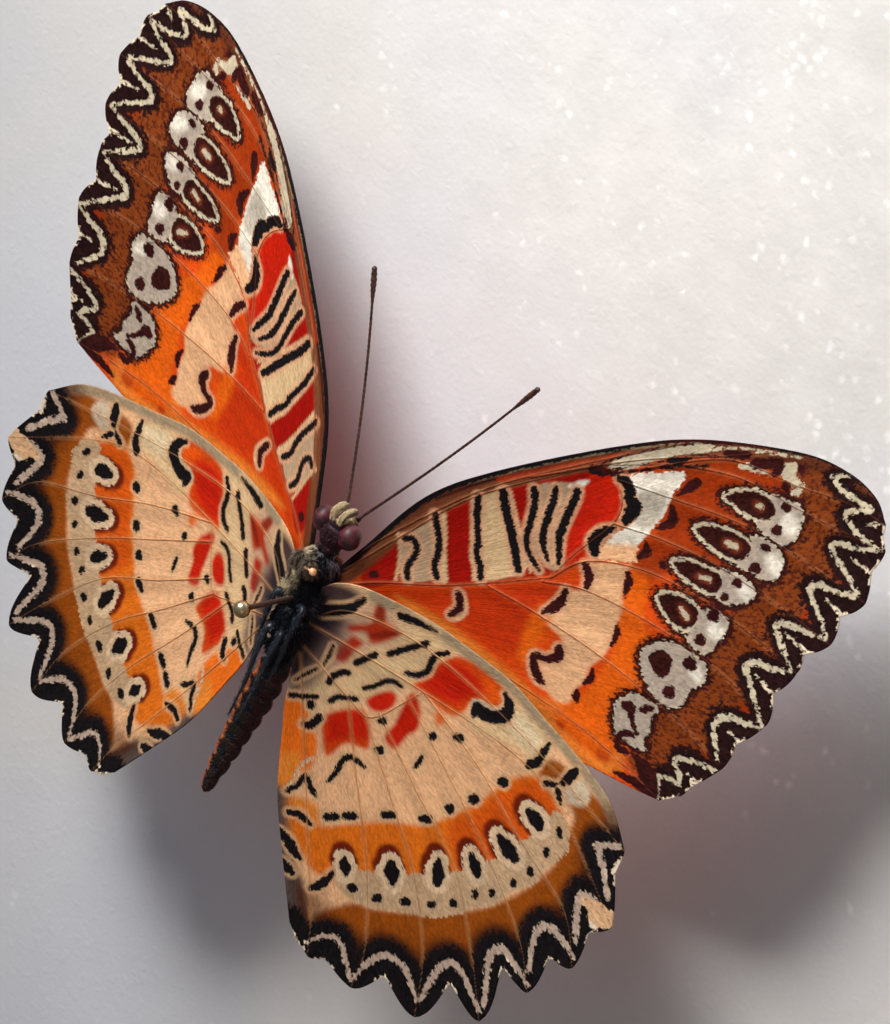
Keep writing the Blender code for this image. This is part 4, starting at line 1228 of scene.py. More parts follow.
# %% Painting the upper sides
UPPER_ORANGE = (206, 58, 14)
FOREWING_UPPER_BLACK = [
    (1.5, 5.6), (5.4, 13.0), (10.5, 18.2), (15.5, 21.0), (19.5, 19.5), (22.5, 17.0), (27.5, 14.5),
    (31.0, 10.0), (31.8, 3.0), (36.0, 3.0), (41.5, 16.0), (42.5, 28.0), (39.0, 35.5), (30.0, 36.0),
    (14.0, 28.0), (4.0, 16.0),
]
FOREWING_UPPER_WHITE = [
    ((0.5, 0.7), [(23.5, 26.5), (23.2, 24.0)]),
    ((0.5, 0.8), [(25.0, 22.6), (24.4, 20.4)]),
    ((0.4, 0.6), [(28.6, 28.6), (29.4, 28.2)]),
    ((0.3, 0.3), [(30.8, 26.0), (31.2, 25.8)]),
]
CHEVRON_DEPTH = 3.4
CHEVRON_HALF = 0.24
UPPER_SPOT_DEPTH = 6.2
UPPER_BORDER = 4.6


def chevrons(coat, tips, notches, middle):
    """A white chevron and a pale spot in each bay of the margin, pointing at the middle of the wing."""
    coat.pale_tint[:] = linear(WHITE)
    for start, end, notch in zip(np.array(tips[:-1]), np.array(tips[1:]), np.array(notches)):
        inward = np.array(middle) - notch
        inward /= np.linalg.norm(inward)
        peak = notch + inward * CHEVRON_DEPTH * min(1.0, np.linalg.norm(end - start) / 4)
        arms = [start * 0.8 + notch * 0.2 + inward * 0.8, peak, end * 0.8 + notch * 0.2 + inward * 0.8]
        for first, second in zip(arms, arms[1:]):
            coat.lighten(depth_in_stroke(coat.places, [first, second], (CHEVRON_HALF,)))
        spot = notch + inward * UPPER_SPOT_DEPTH
        coat.lighten(depth_in_stroke(coat.places, [spot, spot + inward * 0.3], (0.3,)))


def paint_forewing_upper(places):
    coat = Coat(places, UPPER_ORANGE)
    paint(coat.ground, depth_in_stroke(places, FOREWING_VEINS["2A"], (2.5, 2.0)), (214, 92, 26), 2.5)
    coat.dark = depth_in_patch(places, FOREWING_UPPER_BLACK)
    chevrons(coat, FOREWING_TIPS, FOREWING_NOTCHES, (22, 14))
    for widths, line in FOREWING_UPPER_WHITE:
        coat.lighten(depth_in_stroke(places, line, widths))
    coat.dark = np.minimum(coat.dark, -coat.pale)
    return coat


def paint_hindwing_upper(places):
    coat = Coat(places, UPPER_ORANGE, WINGS_APART)
    paint(coat.ground, depth_in_stroke(places, HINDWING_COSTA, (2.2, 1.8)), (176, 132, 98), 1.2)
    coat.dark = UPPER_BORDER - near_line(places, HINDWING_MARGIN)[0]
    chevrons(coat, HINDWING_TIPS, HINDWING_NOTCHES, (12, -6))
    for widths, line in HINDWING_DROPS.values():
        coat.darken(coat.stroke(line, np.array(widths) * 1.2))
    coat.dark = np.minimum(coat.dark, -coat.pale)
    return coat


# %% [markdown]
# The scales themselves are about a tenth of a millimetre wide and twice as long, in rows like roof
# tiles. They are too many to model, so the material makes them: a Voronoi cell for each scale,
# stretched away from the root, lends every scale its own tone and a slight tilt. The same noise
# jitters the depths, so that a mark ends on whole scales. Fine dark lines mark the veins.

# %% Scales
SCALES_PER_MM = 7.0
SCALE_STRETCH = 0.42
SCALE_ROWS = 24
FOLDS = 60
FOLD_STRETCH = 0.12


def wing_material(name, side, vein_colour, flank_colour):
    made = start_material(name)
    lay = read("lay", out=1)
    tone = lots(lay, SCALES_PER_MM, Randomness=0.8)
    crown = cells(lay, SCALES_PER_MM, Randomness=0.8)
    spread = noise(lay, 4.5, 3.0, 0.7)
    patches = noise(lay, 0.55, 3.0)
    jitter = (tone - 0.5) * 0.24 + (spread - 0.5) * 0.4
    streaks = noise(read("folds", out=1), 1.0, 3.0, 0.6)
    brightness = 0.74 + tone * 0.34 + (patches - 0.5) * 0.4 + (streaks - 0.5) * 0.3
    ground = read(side + "_ground", out=0)
    vein_flank = 1 - step_up(read("vein"), 0.06, 0.34)
    ground = shaded(mixed(ground, rgba(flank_colour), vein_flank * 0.25), brightness)
    speck = step_up(spread + (tone - 0.5) * 0.4, 0.46, 0.62) * read(side + "_mottle")
    ground = mixed(ground, rgba((66, 22, 12)), speck * 0.75)
    grain = (patches - 0.5) * 0.4 + (spread - 0.5) * 0.5
    pale = shaded(read(side + "_pale_tint", out=0), 0.76 + tone * 0.34 + grain)
    dark = shaded(read(side + "_dark_tint", out=0), 0.5 + tone * 1.0)
    halo_mask = step_up(read(side + "_halo") + jitter * 2.2, -0.2, 0.2)
    pale_mask = step_up(read(side + "_pale") + jitter, -0.07, 0.07)
    dark_mask = step_up(read(side + "_dark") + jitter * 0.8, -0.07, 0.07)
    vein_line = 1 - step_up(read("vein"), 0.03, 0.1)
    colour = mixed(mixed(ground, dark, halo_mask), pale, pale_mask)
    colour = mixed(colour, dark, dark_mask)
    colour = mixed(colour, mixed(shaded(colour, 0.6), rgba(vein_colour), 0.5), vein_line * 0.7)
    height = crown * -0.6 + tone * 0.5 + streaks * 2.5 + vein_line * 1.5
    return dress(made, Base_Color=colour, Roughness=0.66 - pale_mask * 0.1 + dark_mask * 0.02,
                 Normal=bump(height, 0.00003, 0.7), Specular_IOR_Level=0.1)


def lay_of_scales(mesh, places, root):
    """Where each point lies across and along the scales, which fan out from the wing's root."""
    from_root = places - np.array(root)
    angle = np.arctan2(from_root[:, 1], from_root[:, 0])
    radius = np.linalg.norm(from_root, axis=1)
    for name, rows, stretch in (("lay", SCALE_ROWS, SCALE_STRETCH), ("folds", FOLDS, FOLD_STRETCH)):
        values = np.column_stack([angle * rows, radius * stretch, np.zeros(len(places))])
        mesh.attributes.new(name, "FLOAT_VECTOR", "POINT").data.foreach_set("vector", values.ravel())


def other_side(piece):
    """A mirrored copy with its own mesh, whose faces are turned outwards again."""
    twin = piece.copy()
    twin.data = piece.data.copy()
    twin.name = piece.name.replace("right", "left")
    bpy.context.scene.collection.objects.link(twin)
    twin.data.transform(Matrix.Diagonal((-1, 1, 1, 1)))
    twin.data.flip_normals()
    return twin


def settle(piece, nodes):
    """Hangs a piece on the root body and hides the solids that it stands for, if any."""
    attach(piece, "root")
    if nodes:
        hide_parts(*nodes)


def settle_both(piece, kind, slot_name):
    """Settles a right piece and its mirrored copy, which stand for the solids of this kind, if any."""
    settle(piece, [kind + "_right"] if kind else [])
    settle(other_side(piece), [kind + "_left"] if kind else [])


# %% Forewings and hindwings
fore_under = wing_material("forewing scales, underside", "under", (112, 52, 26), (214, 136, 86))
hind_under = wing_material("hindwing scales, underside", "under", (186, 128, 84), (222, 156, 98))
upper_scales = wing_material("wing scales, upper side", "upper", (60, 26, 16), (196, 60, 16))

KINDS = {
    "forewing": (FOREWING_OUTLINE, FOREWING_VEINS, -WINGS_APART, fore_under, (1.0, 2.0),
                 paint_forewing_under, paint_forewing_upper),
    "hindwing": (HINDWING_OUTLINE, HINDWING_VEINS, WINGS_APART, hind_under, (0.0, 1.0),
                 paint_hindwing_under, paint_hindwing_upper),
}
for kind, (outline, veins, lift, under_scales, root, paint_under, paint_upper) in KINDS.items():
    wing = make_wing(kind + "_scales_right", outline, veins, lift, under_scales, upper_scales)
    spots = plan_places(wing)
    paint_under(spots, lift).store(wing.data, "under")
    paint_upper(spots).store(wing.data, "upper")
    store_number(wing.data, "vein", vein_distance(spots, veins))
    lay_of_scales(wing.data, spots, root)
    settle_both(wing, kind, kind + "_scales")
    print("painted both", kind + "s")

# %% [markdown]
# Under its coat a butterfly's body is a row of swollen plates: a small head with a socket for each
# antenna, a deep thorax with a hip plate for each leg, and a ringed abdomen. Rounded balls laid along
# it and fused by a voxel remesh give one closed skin with natural folds between them. The skin lies
# inside the solids by the depth of the hair that grows on it.

# %% Skin of the body
# Balls: centre, then half sizes along X, Y and Z
HEAD_BALLS = [
    ((0, 7.05, 0.25), (1.12, 1.3, 1.08)),
    ((0, 8.0, 0.35), (0.72, 0.62, 0.72)),
    ((0, 5.9, 0.3), (0.85, 0.7, 0.85)),
    ((0.5, 8.12, -0.62), (0.36, 0.48, 0.44)),
]
THORAX_BALLS = [
    ((0, 4.3, 0.3), (1.3, 1.1, 1.33)),
    ((0, 1.9, 0.28), (1.9, 2.5, 1.93)),
    ((0, -1.2, 0.3), (1.93, 2.4, 1.93)),
    ((0, -3.7, 0.28), (1.45, 1.3, 1.48)),
    ((0.66, 3.7, 1.13), (0.55, 1.0, 0.53)),
    ((0.88, 1.4, 1.38), (0.75, 1.3, 0.75)),
    ((0.75, -1.5, 1.38), (0.7, 1.3, 0.7)),
]
ABDOMEN_RINGS = 8
ABDOMEN_LENGTH = 12.3
ABDOMEN_LIFT = 2.5
ABDOMEN_START = (-5.25, 0.3)
ABDOMEN_RADIUS = 1.36
ABDOMEN_FILL = 0.955
SKIN_VOXEL = 0.13


def abdomen_ball(ring):
    """The ball of one abdomen ring: they overlap, so that a fold stays between each two."""
    t = (ring + 0.5) / ABDOMEN_RINGS
    radius = ABDOMEN_RADIUS * (1 - 0.62 * t ** 3.2) * (0.88 + 0.12 * math.sin(math.pi * min(1, 2 * t)))
    y = ABDOMEN_START[0] - ABDOMEN_LENGTH * ABDOMEN_FILL * t
    z = ABDOMEN_START[1] + ABDOMEN_LIFT * ABDOMEN_FILL * t
    return (0, y, z), (radius, ABDOMEN_RADIUS, radius)


def add_ball(centre, half):
    bpy.ops.mesh.primitive_uv_sphere_add(segments=24, ring_count=14, radius=MM, location=placed(centre))
    bpy.ops.transform.resize(value=half)
    return bpy.context.active_object


def make_skin():
    balls = HEAD_BALLS + THORAX_BALLS
    balls += [((-x, y, z), half) for (x, y, z), half in balls if x]
    balls += [abdomen_ball(ring) for ring in range(ABDOMEN_RINGS)]
    deselect()
    skin = joined("body_skin", *[add_ball(*ball) for ball in balls][::-1])
    fix_transform()
    modified(skin, "REMESH", mode="VOXEL", voxel_size=SKIN_VOXEL * MM)
    modified(skin, "SMOOTH", factor=0.5, iterations=3)
    skin.data.shade_smooth()
    return skin


skin = make_skin()
print("skin faces:", len(skin.data.polygons))

# %% [markdown]
# Skin and hair carry the same markings, so one function gives the colour of any place on the body:
# blue-black below, cream on the left flank and mauve on the right as in the photo, rusty above.
# Every ring of the abdomen has a black spot below, with rust on its left and maroon on its right. The
# maroon is the same orange band, painted in shade on the right side.

# %% Markings of the body
THORAX_CENTRE_Z = 0.3
BODY_BLACK = (8, 12, 20)
HEAD_BROWN = (56, 30, 38)
LEFT_FLANK = (178, 160, 128)
RIGHT_FLANK = (76, 56, 60)
BODY_RUST = (150, 74, 30)
ABDOMEN_DARK = (30, 20, 14)
ABDOMEN_ORANGE = (168, 84, 38)
# Painted shade: the abdomen's orange band as it is painted on the right side.
ABDOMEN_SHADED_ORANGE = (56, 24, 22)
FACE_CREAM = (206, 184, 142)


def blended(low, high, share):
    return low + (high - low) * np.clip(share, 0, 1)[:, None]


def body_colour(places):
    """The colour of the coat at places on the body, in linear values."""
    x, y, z = places.T
    up = np.degrees(np.arctan2(z - THORAX_CENTRE_Z, np.abs(x)))
    left = x < 0
    base = blended(even(BODY_BLACK, len(places)), linear(HEAD_BROWN), (y - 5.6) * 2)
    flank = np.where(left[:, None], linear(LEFT_FLANK), linear(RIGHT_FLANK))
    centre, reach = np.where(left, 38, 10), np.where(left, 12 + 38 * np.clip(y - 0.2, 0, 1), 26)
    base = blended(base, flank, (1 - np.abs(up - centre) / reach) * 1.8 * (y < 5.2))
    base = blended(base, linear(BODY_RUST), (-up - 18) / 20)
    base = blended(base, linear(FACE_CREAM), (y - 8.1) * 5)
    ring = (ABDOMEN_START[0] - y) / (ABDOMEN_LENGTH * ABDOMEN_FILL) * ABDOMEN_RINGS
    middle = ABDOMEN_START[1] + ABDOMEN_LIFT * (ABDOMEN_START[0] - y) / ABDOMEN_LENGTH
    turn = np.degrees(np.arctan2(z - middle, np.abs(x)))
    phase = ring - np.floor(ring)
    abdomen = even(ABDOMEN_DARK, len(places))
    over = np.where(left, turn, 180 - turn)
    # Orange on the left, and maroon on the right as painted shade of the same band.
    for colour, bearing in ((ABDOMEN_ORANGE, 40), (ABDOMEN_SHADED_ORANGE, 148)):
        abdomen = blended(abdomen, linear(colour), (1 - np.abs(over - bearing) / 34) * 1.8 * (phase > 0.18))
    spot = 1 - np.hypot((over - 96) / 30, (phase - 0.55) / 0.34)
    abdomen = blended(abdomen, linear(BODY_BLACK), spot * 3)
    abdomen = blended(abdomen, linear(BODY_RUST), (-turn - 8) / 20)
    return blended(base, abdomen, (ring > 0) * 1.0)


def skin_material():
    made = start_material("body cuticle")
    where = object_place()
    tone = noise(where, 2500.0, 3.0)
    colour = shaded(read("coat_colour", out=0), 0.45 + tone * 0.4)
    pits = bump(cells(where, 7000.0), 0.00003, 0.6)
    return dress(made, Base_Color=colour, Roughness=0.42 + tone * 0.2, Normal=pits)


store_colour(skin.data, "coat_colour", body_colour(points_of(skin.data)))
skin.data.materials.append(skin_material())
settle(skin, ["thorax", "head", "abdomen"])
print("skin is marked")

# %% [markdown]
# The coat is solid tufts, each a flat three-sided blade that grows out of the skin and lies back
# along the body. Long soft hair covers the thorax, longest on the flanks, and hangs over the roots of
# the wings. Short hair covers the head, and flat overlapping scales the abdomen. Blades sit in one
# mesh per coat, made from arrays, since tens of thousands of objects would be too slow to model by
# hand. Every blade keeps its UVs in a small patch at its root's place on an unwrap of the skin round
# the body's axis.

# %% The coat
UNWRAP_PATCH = 0.003
BLADE_FACES = [(0, 2, 1), (0, 1, 4), (0, 4, 3), (1, 2, 5), (1, 5, 4), (2, 0, 3), (2, 3, 5),
               (3, 4, 6), (4, 5, 6), (5, 3, 6)]
BLADE_UV = [(0, 0), (1, 0), (0.5, 0.2), (0, 0.6), (1, 0.6), (0.5, 0.7), (0.5, 1)]
BODY_SPAN = (-17.5, 9.5)
HEAD_START = 5.4


def unwrap_roots(places):
    """The root's place on the skin's unwrap: round the body, and along it."""
    x, y, z = places.T
    lift = np.where(y < ABDOMEN_START[0], (ABDOMEN_START[0] - y) * ABDOMEN_LIFT / ABDOMEN_LENGTH, 0)
    round_body = np.arctan2(x, z - 0.4 - lift) / (2 * math.pi) + 0.5
    along = (y - BODY_SPAN[0]) / (BODY_SPAN[1] - BODY_SPAN[0])
    return np.column_stack([round_body, along]) * 0.99 + 0.003


def make_tufts(name, roots, outward, ahead, lengths, widths, colours, rise=0.3, flat=0.4):
    """One mesh of blades. Each has a root ring, a middle ring and a tip, and leans along ahead."""
    ahead = ahead - outward * (ahead * outward).sum(1)[:, None]
    ahead /= np.linalg.norm(ahead, axis=1)[:, None]
    across = np.cross(outward, ahead)
    lengths, widths = lengths[:, None], widths[:, None]
    middle = roots + ahead * lengths * 0.5 + outward * lengths * rise * 0.8
    tip = roots + ahead * lengths + outward * lengths * rise * 0.55
    base = roots - outward * widths * 0.8
    corners = []
    for place, size in ((base, 0.7), (middle, 1.0)):
        for side, high in ((-0.5, 0.0), (0.5, 0.0), (0.0, flat)):
            corners.append(place + across * widths * side * size + outward * widths * high * size)
    corners.append(tip)
    points = np.stack(corners, axis=1).reshape(-1, 3)
    first = np.arange(len(roots))[:, None, None] * len(BLADE_UV)
    faces = (first + np.array(BLADE_FACES)[None]).reshape(-1, 3)
    mesh = bpy.data.meshes.new(name)
    mesh.from_pydata(placed(points), [], faces)
    store_colour(mesh, "coat_colour", np.repeat(colours, len(BLADE_UV), axis=0))
    patch = (unwrap_roots(roots)[:, None, :] + np.array(BLADE_UV)[None] * UNWRAP_PATCH).reshape(-1, 2)
    layer = mesh.uv_layers.new(name="OFBake")
    layer.data.foreach_set("uv", patch[faces.ravel()].ravel())
    tufts = added(name, mesh)
    show_only(tufts)
    bpy.ops.object.mode_set(mode="EDIT")
    bpy.ops.mesh.select_all(action="SELECT")
    bpy.ops.mesh.normals_make_consistent(inside=False)
    bpy.ops.object.mode_set(mode="OBJECT")
    tufts.data.materials.append(hair_finish)
    print(name, "has", len(roots), "blades")
    return tufts


def sown(mesh, count, wanted):
    """Roots spread at random over the faces of a mesh where wanted(places) is true."""
    mesh.calc_loop_triangles()
    corner = np.empty(len(mesh.loop_triangles) * 3, np.int32)
    mesh.loop_triangles.foreach_get("vertices", corner)
    triangles = points_of(mesh)[corner.reshape(-1, 3)]
    facing = np.cross(triangles[:, 1] - triangles[:, 0], triangles[:, 2] - triangles[:, 0])
    area = np.linalg.norm(facing, axis=1)
    share = area * wanted(triangles.mean(1))
    picked = RANDOM.choice(len(triangles), count, p=share / share.sum())
    mix = RANDOM.dirichlet((1, 1, 1), count)
    roots = (triangles[picked] * mix[:, :, None]).sum(1)
    return roots, facing[picked] / area[picked][:, None]


def hair_material(name, gloss):
    made = start_material(name)
    where = object_place()
    tone = noise(where, 1800.0, 2.0)
    strand = noise(where, 9000.0, 2.0)
    colour = shaded(read("coat_colour", out=0), 0.75 + tone * 0.5)
    return dress(made, Base_Color=colour, Roughness=gloss + tone * 0.15, Normal=bump(strand, 0.00002, 0.5),
                 Specular_IOR_Level=0.22)


def shaded_colours(places, spread=0.35):
    """The markings at these places, each blade a little darker or lighter than its neighbours."""
    return body_colour(places) * RANDOM.uniform(1 - spread, 1 + spread, len(places))[:, None]


def backwards(roots, sweep=0.25):
    """Hair lies towards the tail, a little outwards, with some disorder."""
    lean = RANDOM.normal(0, 0.22, (len(roots), 3))
    lean[:, 0] += np.sign(roots[:, 0]) * sweep
    return lean + (0.0, -1.0, 0.0)


def spread_over(roots, low, high):
    """A random size for each blade."""
    return RANDOM.uniform(low, high, len(roots))


hair_finish = hair_material("body hair", 0.45)
roots, outward = sown(skin.data, 9000, lambda p: ((p[:, 1] > -5.0) & (p[:, 1] < HEAD_START)) * 1.0)
flank = np.clip(1 - np.abs(roots[:, 2] - THORAX_CENTRE_Z) / 1.3, 0, 1)
thorax_hair = make_tufts(
    "thorax_hair", roots, outward, backwards(roots), spread_over(roots, 0.5, 0.95) + flank * 0.5,
    spread_over(roots, 0.06, 0.11), shaded_colours(roots), rise=0.28)


def beside_wing_roots(places):
    """The lower flanks, where hair hangs over the roots of the wings, most of it on the right."""
    x, y, z = places.T
    return ((z > 0.2) & (np.abs(x) > 1.2) & (y < 4.2) & (y > -4.6)) * np.where(x > 0, 1.6, 0.6)


roots, outward = sown(skin.data, 2600, beside_wing_roots)
on_right = roots[:, 0] > 0
overhang = outward * (1.0, 0.3, 0.1) + RANDOM.normal(0, 0.25, roots.shape)
dusky = linear((34, 27, 34)) * spread_over(roots, 0.2, 1.4)[:, None]
wing_root_hair = make_tufts(
    "wing_root_hair", roots, outward, overhang - (0.0, 0.35, 0.5),
    spread_over(roots, 0.8, 1.5) * np.where(on_right, 1.35, 1.0), spread_over(roots, 0.04, 0.07),
    np.where(on_right[:, None], dusky, shaded_colours(roots)), rise=0.2)

roots, outward = sown(skin.data, 3600, lambda p: (p[:, 1] >= HEAD_START) * (1.0 + 2.0 * (p[:, 1] > 7.6)))
face = np.clip((roots[:, 1] - 7.4) / 1.2, 0, 1)
head_hair = make_tufts(
    "head_hair", roots, outward, np.where(face[:, None] > 0.3, [(0, 1.0, 0.25)], backwards(roots)),
    spread_over(roots, 0.3, 0.5) * (1 - 0.45 * face), spread_over(roots, 0.045, 0.08),
    shaded_colours(roots), rise=0.35)

roots, outward = sown(skin.data, 11000, lambda p: (p[:, 1] < -4.6) * 1.0)
abdomen_scales = make_tufts(
    "abdomen_scales", roots, outward, backwards(roots, 0.0), spread_over(roots, 0.26, 0.42),
    spread_over(roots, 0.12, 0.18), shaded_colours(roots, 0.25), rise=0.2, flat=0.25)
for coat in (thorax_hair, wing_root_hair, head_hair, abdomen_scales):
    settle(coat, [])

# %% [markdown]
# Antennae, palps, legs and the coiled tongue are jointed tubes. Each is drawn as a curve with a
# radius at every point, made a mesh, and its joints are swellings of that radius.

# %% Tubes
def make_tube(name, line, radii, finish, ring=2):
    """A closed round tube with this finish along a line in millimetres from the body centre."""
    tube = tubes(name, [(line, radii)], ring)
    tube.data.shade_smooth()
    tube.data.materials.clear()
    tube.data.materials.append(finish)
    return tube


def cuticle(name, low, high, roughness, bands=5200.0):
    """Dark horn with a fine grain, a little lighter between its scales."""
    made = start_material(name)
    where = object_place()
    tone = noise(where, 3500.0, 3.0)
    colour = mixed(rgba(low), rgba(high), step_up(tone, 0.35, 0.75))
    grain = bump(cells(where, bands), 0.00003, 0.6)
    return dress(made, Base_Color=colour, Roughness=roughness + tone * 0.2, Normal=grain)


# %% Antennae
ANTENNA_ROOT = np.array((0.55, 8.5, -0.95))
ANTENNA_REACH = np.array((8.45, 17.4, -2.75))
ANTENNA_BOW = np.array((0.1, 0.0, -0.6))
ANTENNA_JOINTS = 44
ANTENNA_BASE = (0.26, 0.28, 0.24, 0.15)
CLUB_START = 0.84

antenna_finish = cuticle("antenna horn", (30, 17, 12), (92, 46, 26), 0.34)
steps = ANTENNA_JOINTS * 3
line, radii = [], []
for step in range(steps + 1):
    t = step / steps
    line.append(ANTENNA_ROOT + ANTENNA_REACH * t + ANTENNA_BOW * math.sin(math.pi * t))
    swell = max(0.0, (t - CLUB_START) / (1 - CLUB_START))
    club = 0.15 * math.sin(math.pi * min(1.0, swell * 0.72 + 0.02)) ** 1.5 if swell else 0.0
    joint = 1.0 if step % 3 else 0.82
    radii.append((0.13 - 0.02 * t + club) * joint if step < steps else 0.05)
radii[:4] = ANTENNA_BASE
antenna = make_tube("antenna_ringed_right", line, radii, antenna_finish)
settle_both(antenna, "antenna", "limb_cuticle")

# %% [markdown]
# The eyes are domes of some thousands of facets, dark red-purple and glossy. A rounded ball gets a
# honeycomb bump at the real size of the facets, a third of a tenth of a millimetre, and soft clouds
# of darker and lighter red-purple.

# %% Eyes
EYE_PLACE = (1.4, 7.6, 0.3)
EYE_SIZE = (0.95, 1.1, 1.05)


def eye_material():
    made = start_material("faceted eye")
    where = object_place()
    facets = Wire.node("TexVoronoi", {"feature": "DISTANCE_TO_EDGE"},
                       {"Vector": where, "Scale": 15000.0, "Randomness": 0.25})
    dome = step_up(facets, 0.0, 0.4)
    cloud = noise(where, 1300.0, 2.0)
    colour = mixed(rgba((46, 8, 18)), rgba((112, 38, 50)), step_up(cloud, 0.35, 0.68))
    colour = shaded(colour, 0.7 + dome * 0.4)
    return dress(made, Base_Color=colour, Roughness=0.5, Normal=bump(dome, 0.00001, 0.7), Coat_Weight=0.08,
                 Coat_Roughness=0.2)


deselect()
bpy.ops.mesh.primitive_ico_sphere_add(subdivisions=5, radius=MM, location=placed(EYE_PLACE))
eye = bpy.context.active_object
eye.name = "eye_faceted_right"
bpy.ops.transform.resize(value=EYE_SIZE)
fix_transform()
rim = points_of(eye.data) - np.array(EYE_PLACE)
toward_head = np.clip(-rim[:, 0] / EYE_SIZE[0], 0, 1)
rim[:, 1:] *= (1 - 0.18 * toward_head ** 2)[:, None]
eye.data.vertices.foreach_set("co", placed(rim + np.array(EYE_PLACE)).ravel())
eye.data.shade_smooth()
eye.data.materials.append(eye_material())
settle_both(eye, "eye", "eye")

# %% [markdown]
# The palps rise from under the head and stand in front of the face, each a curved finger thick with
# cream hair. The tongue is rolled between them like a watch spring.

# %% Palps and tongue
PALP_POINTS = [(0.36, 8.1, 0.85), (0.46, 8.95, 0.95), (0.5, 9.25, 0.5), (0.52, 9.35, 0.05),
               (0.48, 9.25, -0.45)]
PALP_RADII = [0.2, 0.26, 0.34, 0.32, 0.16]
PALP_CORE = 0.72
COIL_TURNS = 2.6
COIL_STEPS = 60


def everywhere(places):
    return np.ones(len(places))


palp_line = smooth_line(PALP_POINTS, 6)
palp_half = np.interp(np.linspace(0, 4, len(palp_line)), range(5), PALP_RADII) * PALP_CORE
palp_horn = cuticle("palp horn", (150, 122, 84), (206, 182, 138), 0.5)
palp = make_tube("palp_core_right", palp_line, palp_half, palp_horn)
store_colour(palp.data, "coat_colour", even(FACE_CREAM, len(palp.data.vertices)))
settle_both(palp, "palp", "palp_hair")
roots, outward = sown(palp.data, 1100, everywhere)
tones = linear((216, 192, 150)) * spread_over(roots, 0.6, 1.15)[:, None]
tones[outward[:, 0] > 0.75] *= 0.25
fringe = make_tufts(
    "palp_fringe_right", roots, outward, np.array((0.0, 0.5, -0.8)) + RANDOM.normal(0, 0.2, (len(roots), 3)),
    spread_over(roots, 0.18, 0.3), spread_over(roots, 0.04, 0.06), tones, rise=0.4)
settle_both(fringe, None, "palp_hair")

coil = []
for share in np.arange(COIL_STEPS + 1) / COIL_STEPS:
    turn = share * COIL_TURNS * 2 * math.pi
    size = 0.4 * (1 - 0.72 * share)
    coil.append((0.0, 8.85 + size * math.cos(turn), 0.45 + size * math.sin(turn)))
tongue_horn = cuticle("tongue horn", (44, 22, 12), (96, 54, 28), 0.3, 6000.0)
tongue = make_tube("tongue", coil, np.linspace(0.1, 0.05, len(coil)), tongue_horn)
settle(tongue, [])

# %% [markdown]
# Six legs fold back along the thorax. A leg is a hip, a stout thigh, a thin shin with spines and a
# foot of five joints with two claws. Brush-footed butterflies like this one keep the front pair
# small and furry. The tubes follow the same places as the solids.

# %% Legs
THORAX_DEEPER = 1.02
THORAX_HALF = [
    (-4.9, 1.35), (-4.4, 1.7), (-3.0, 2.05), (-0.5, 2.25), (2.0, 2.2), (3.8, 1.9), (4.8, 1.55), (5.35, 1.15),
]
LEGS = {
    "foreleg": ((0.5, 4.0), (0.62, 5.25, 2.7), (0.58, 5.25, 3.68), (0.5, 4.2, 3.65), (0.42, 3.1, 3.4)),
    "midleg": ((1.25, 1.0), (1.42, -0.8, 2.8), (1.3, -3.6, 2.42), (1.05, -6.3, 2.3)),
    "hindleg": ((0.58, -1.9), (0.6, -3.8, 3.0), (0.5, -7.2, 2.9), (0.42, -10.2, 3.3)),
}
LEG_BEND = 0.46
LEG_PARTS = (0, 0.6, 1.0, 1.15, 1.5, 1.9, 2.05, 2.2, 2.9, 3.0, 3.1, 4.0)
LEG_RADII = (0.42, 0.42, 0.3, 0.24, 0.31, 0.24, 0.2, 0.17, 0.18, 0.2, 0.13, 0.1)
leg_finish = cuticle("leg horn", (7, 11, 18), (34, 44, 56), 0.3)


def leg_line(root, *joints):
    """Hip on the thorax, then the joints and the end of the foot, with the radius at each point."""
    x, y = root
    half = np.interp(y, *zip(*THORAX_HALF))
    height = math.sqrt(half ** 2 - x ** 2)
    face = np.array((x, 0, height / THORAX_DEEPER))
    face /= np.linalg.norm(face)
    start = np.array((x, y, THORAX_CENTRE_Z + height * THORAX_DEEPER))
    spots = np.array([start - face * 0.6, start + face * 0.5, *joints])
    far = np.concatenate([[0], np.cumsum(np.linalg.norm(np.diff(spots, axis=0), axis=1))])
    pick = np.interp(np.linspace(0, len(spots) - 1, 41), np.arange(len(spots)), far)
    near = pick[:, None] + np.linspace(-LEG_BEND, LEG_BEND, 9)
    line = np.column_stack([np.interp(near, far, axis).mean(axis=1) for axis in spots.T])
    t = np.linspace(0, 4, len(line))
    radii = np.interp(t, LEG_PARTS, LEG_RADII)
    joints = (t > 3.05) & (np.round((t - 3) * 10).astype(int) % 2 == 0)
    return line, np.where(joints, radii * 0.78, radii)


def make_leg(kind, places):
    """A right leg with the two claws of its foot."""
    line, radii = leg_line(*places)
    parts = [make_tube(kind, line, radii, leg_finish)]
    ahead = line[-1] - line[-3]
    ahead /= np.linalg.norm(ahead)
    reach = line[-1] + ahead * 0.05
    for side in (-1, 1):
        hook = [reach, reach + ahead * 0.14 + np.array((side * 0.09, 0, 0.04)),
                reach + ahead * 0.22 + np.array((side * 0.12, 0, -0.04))]
        parts.append(make_tube("claw", smooth_line(hook, 3), np.linspace(0.045, 0.01, 7), leg_finish, ring=1))
    return joined(kind + "_jointed_right", *parts)


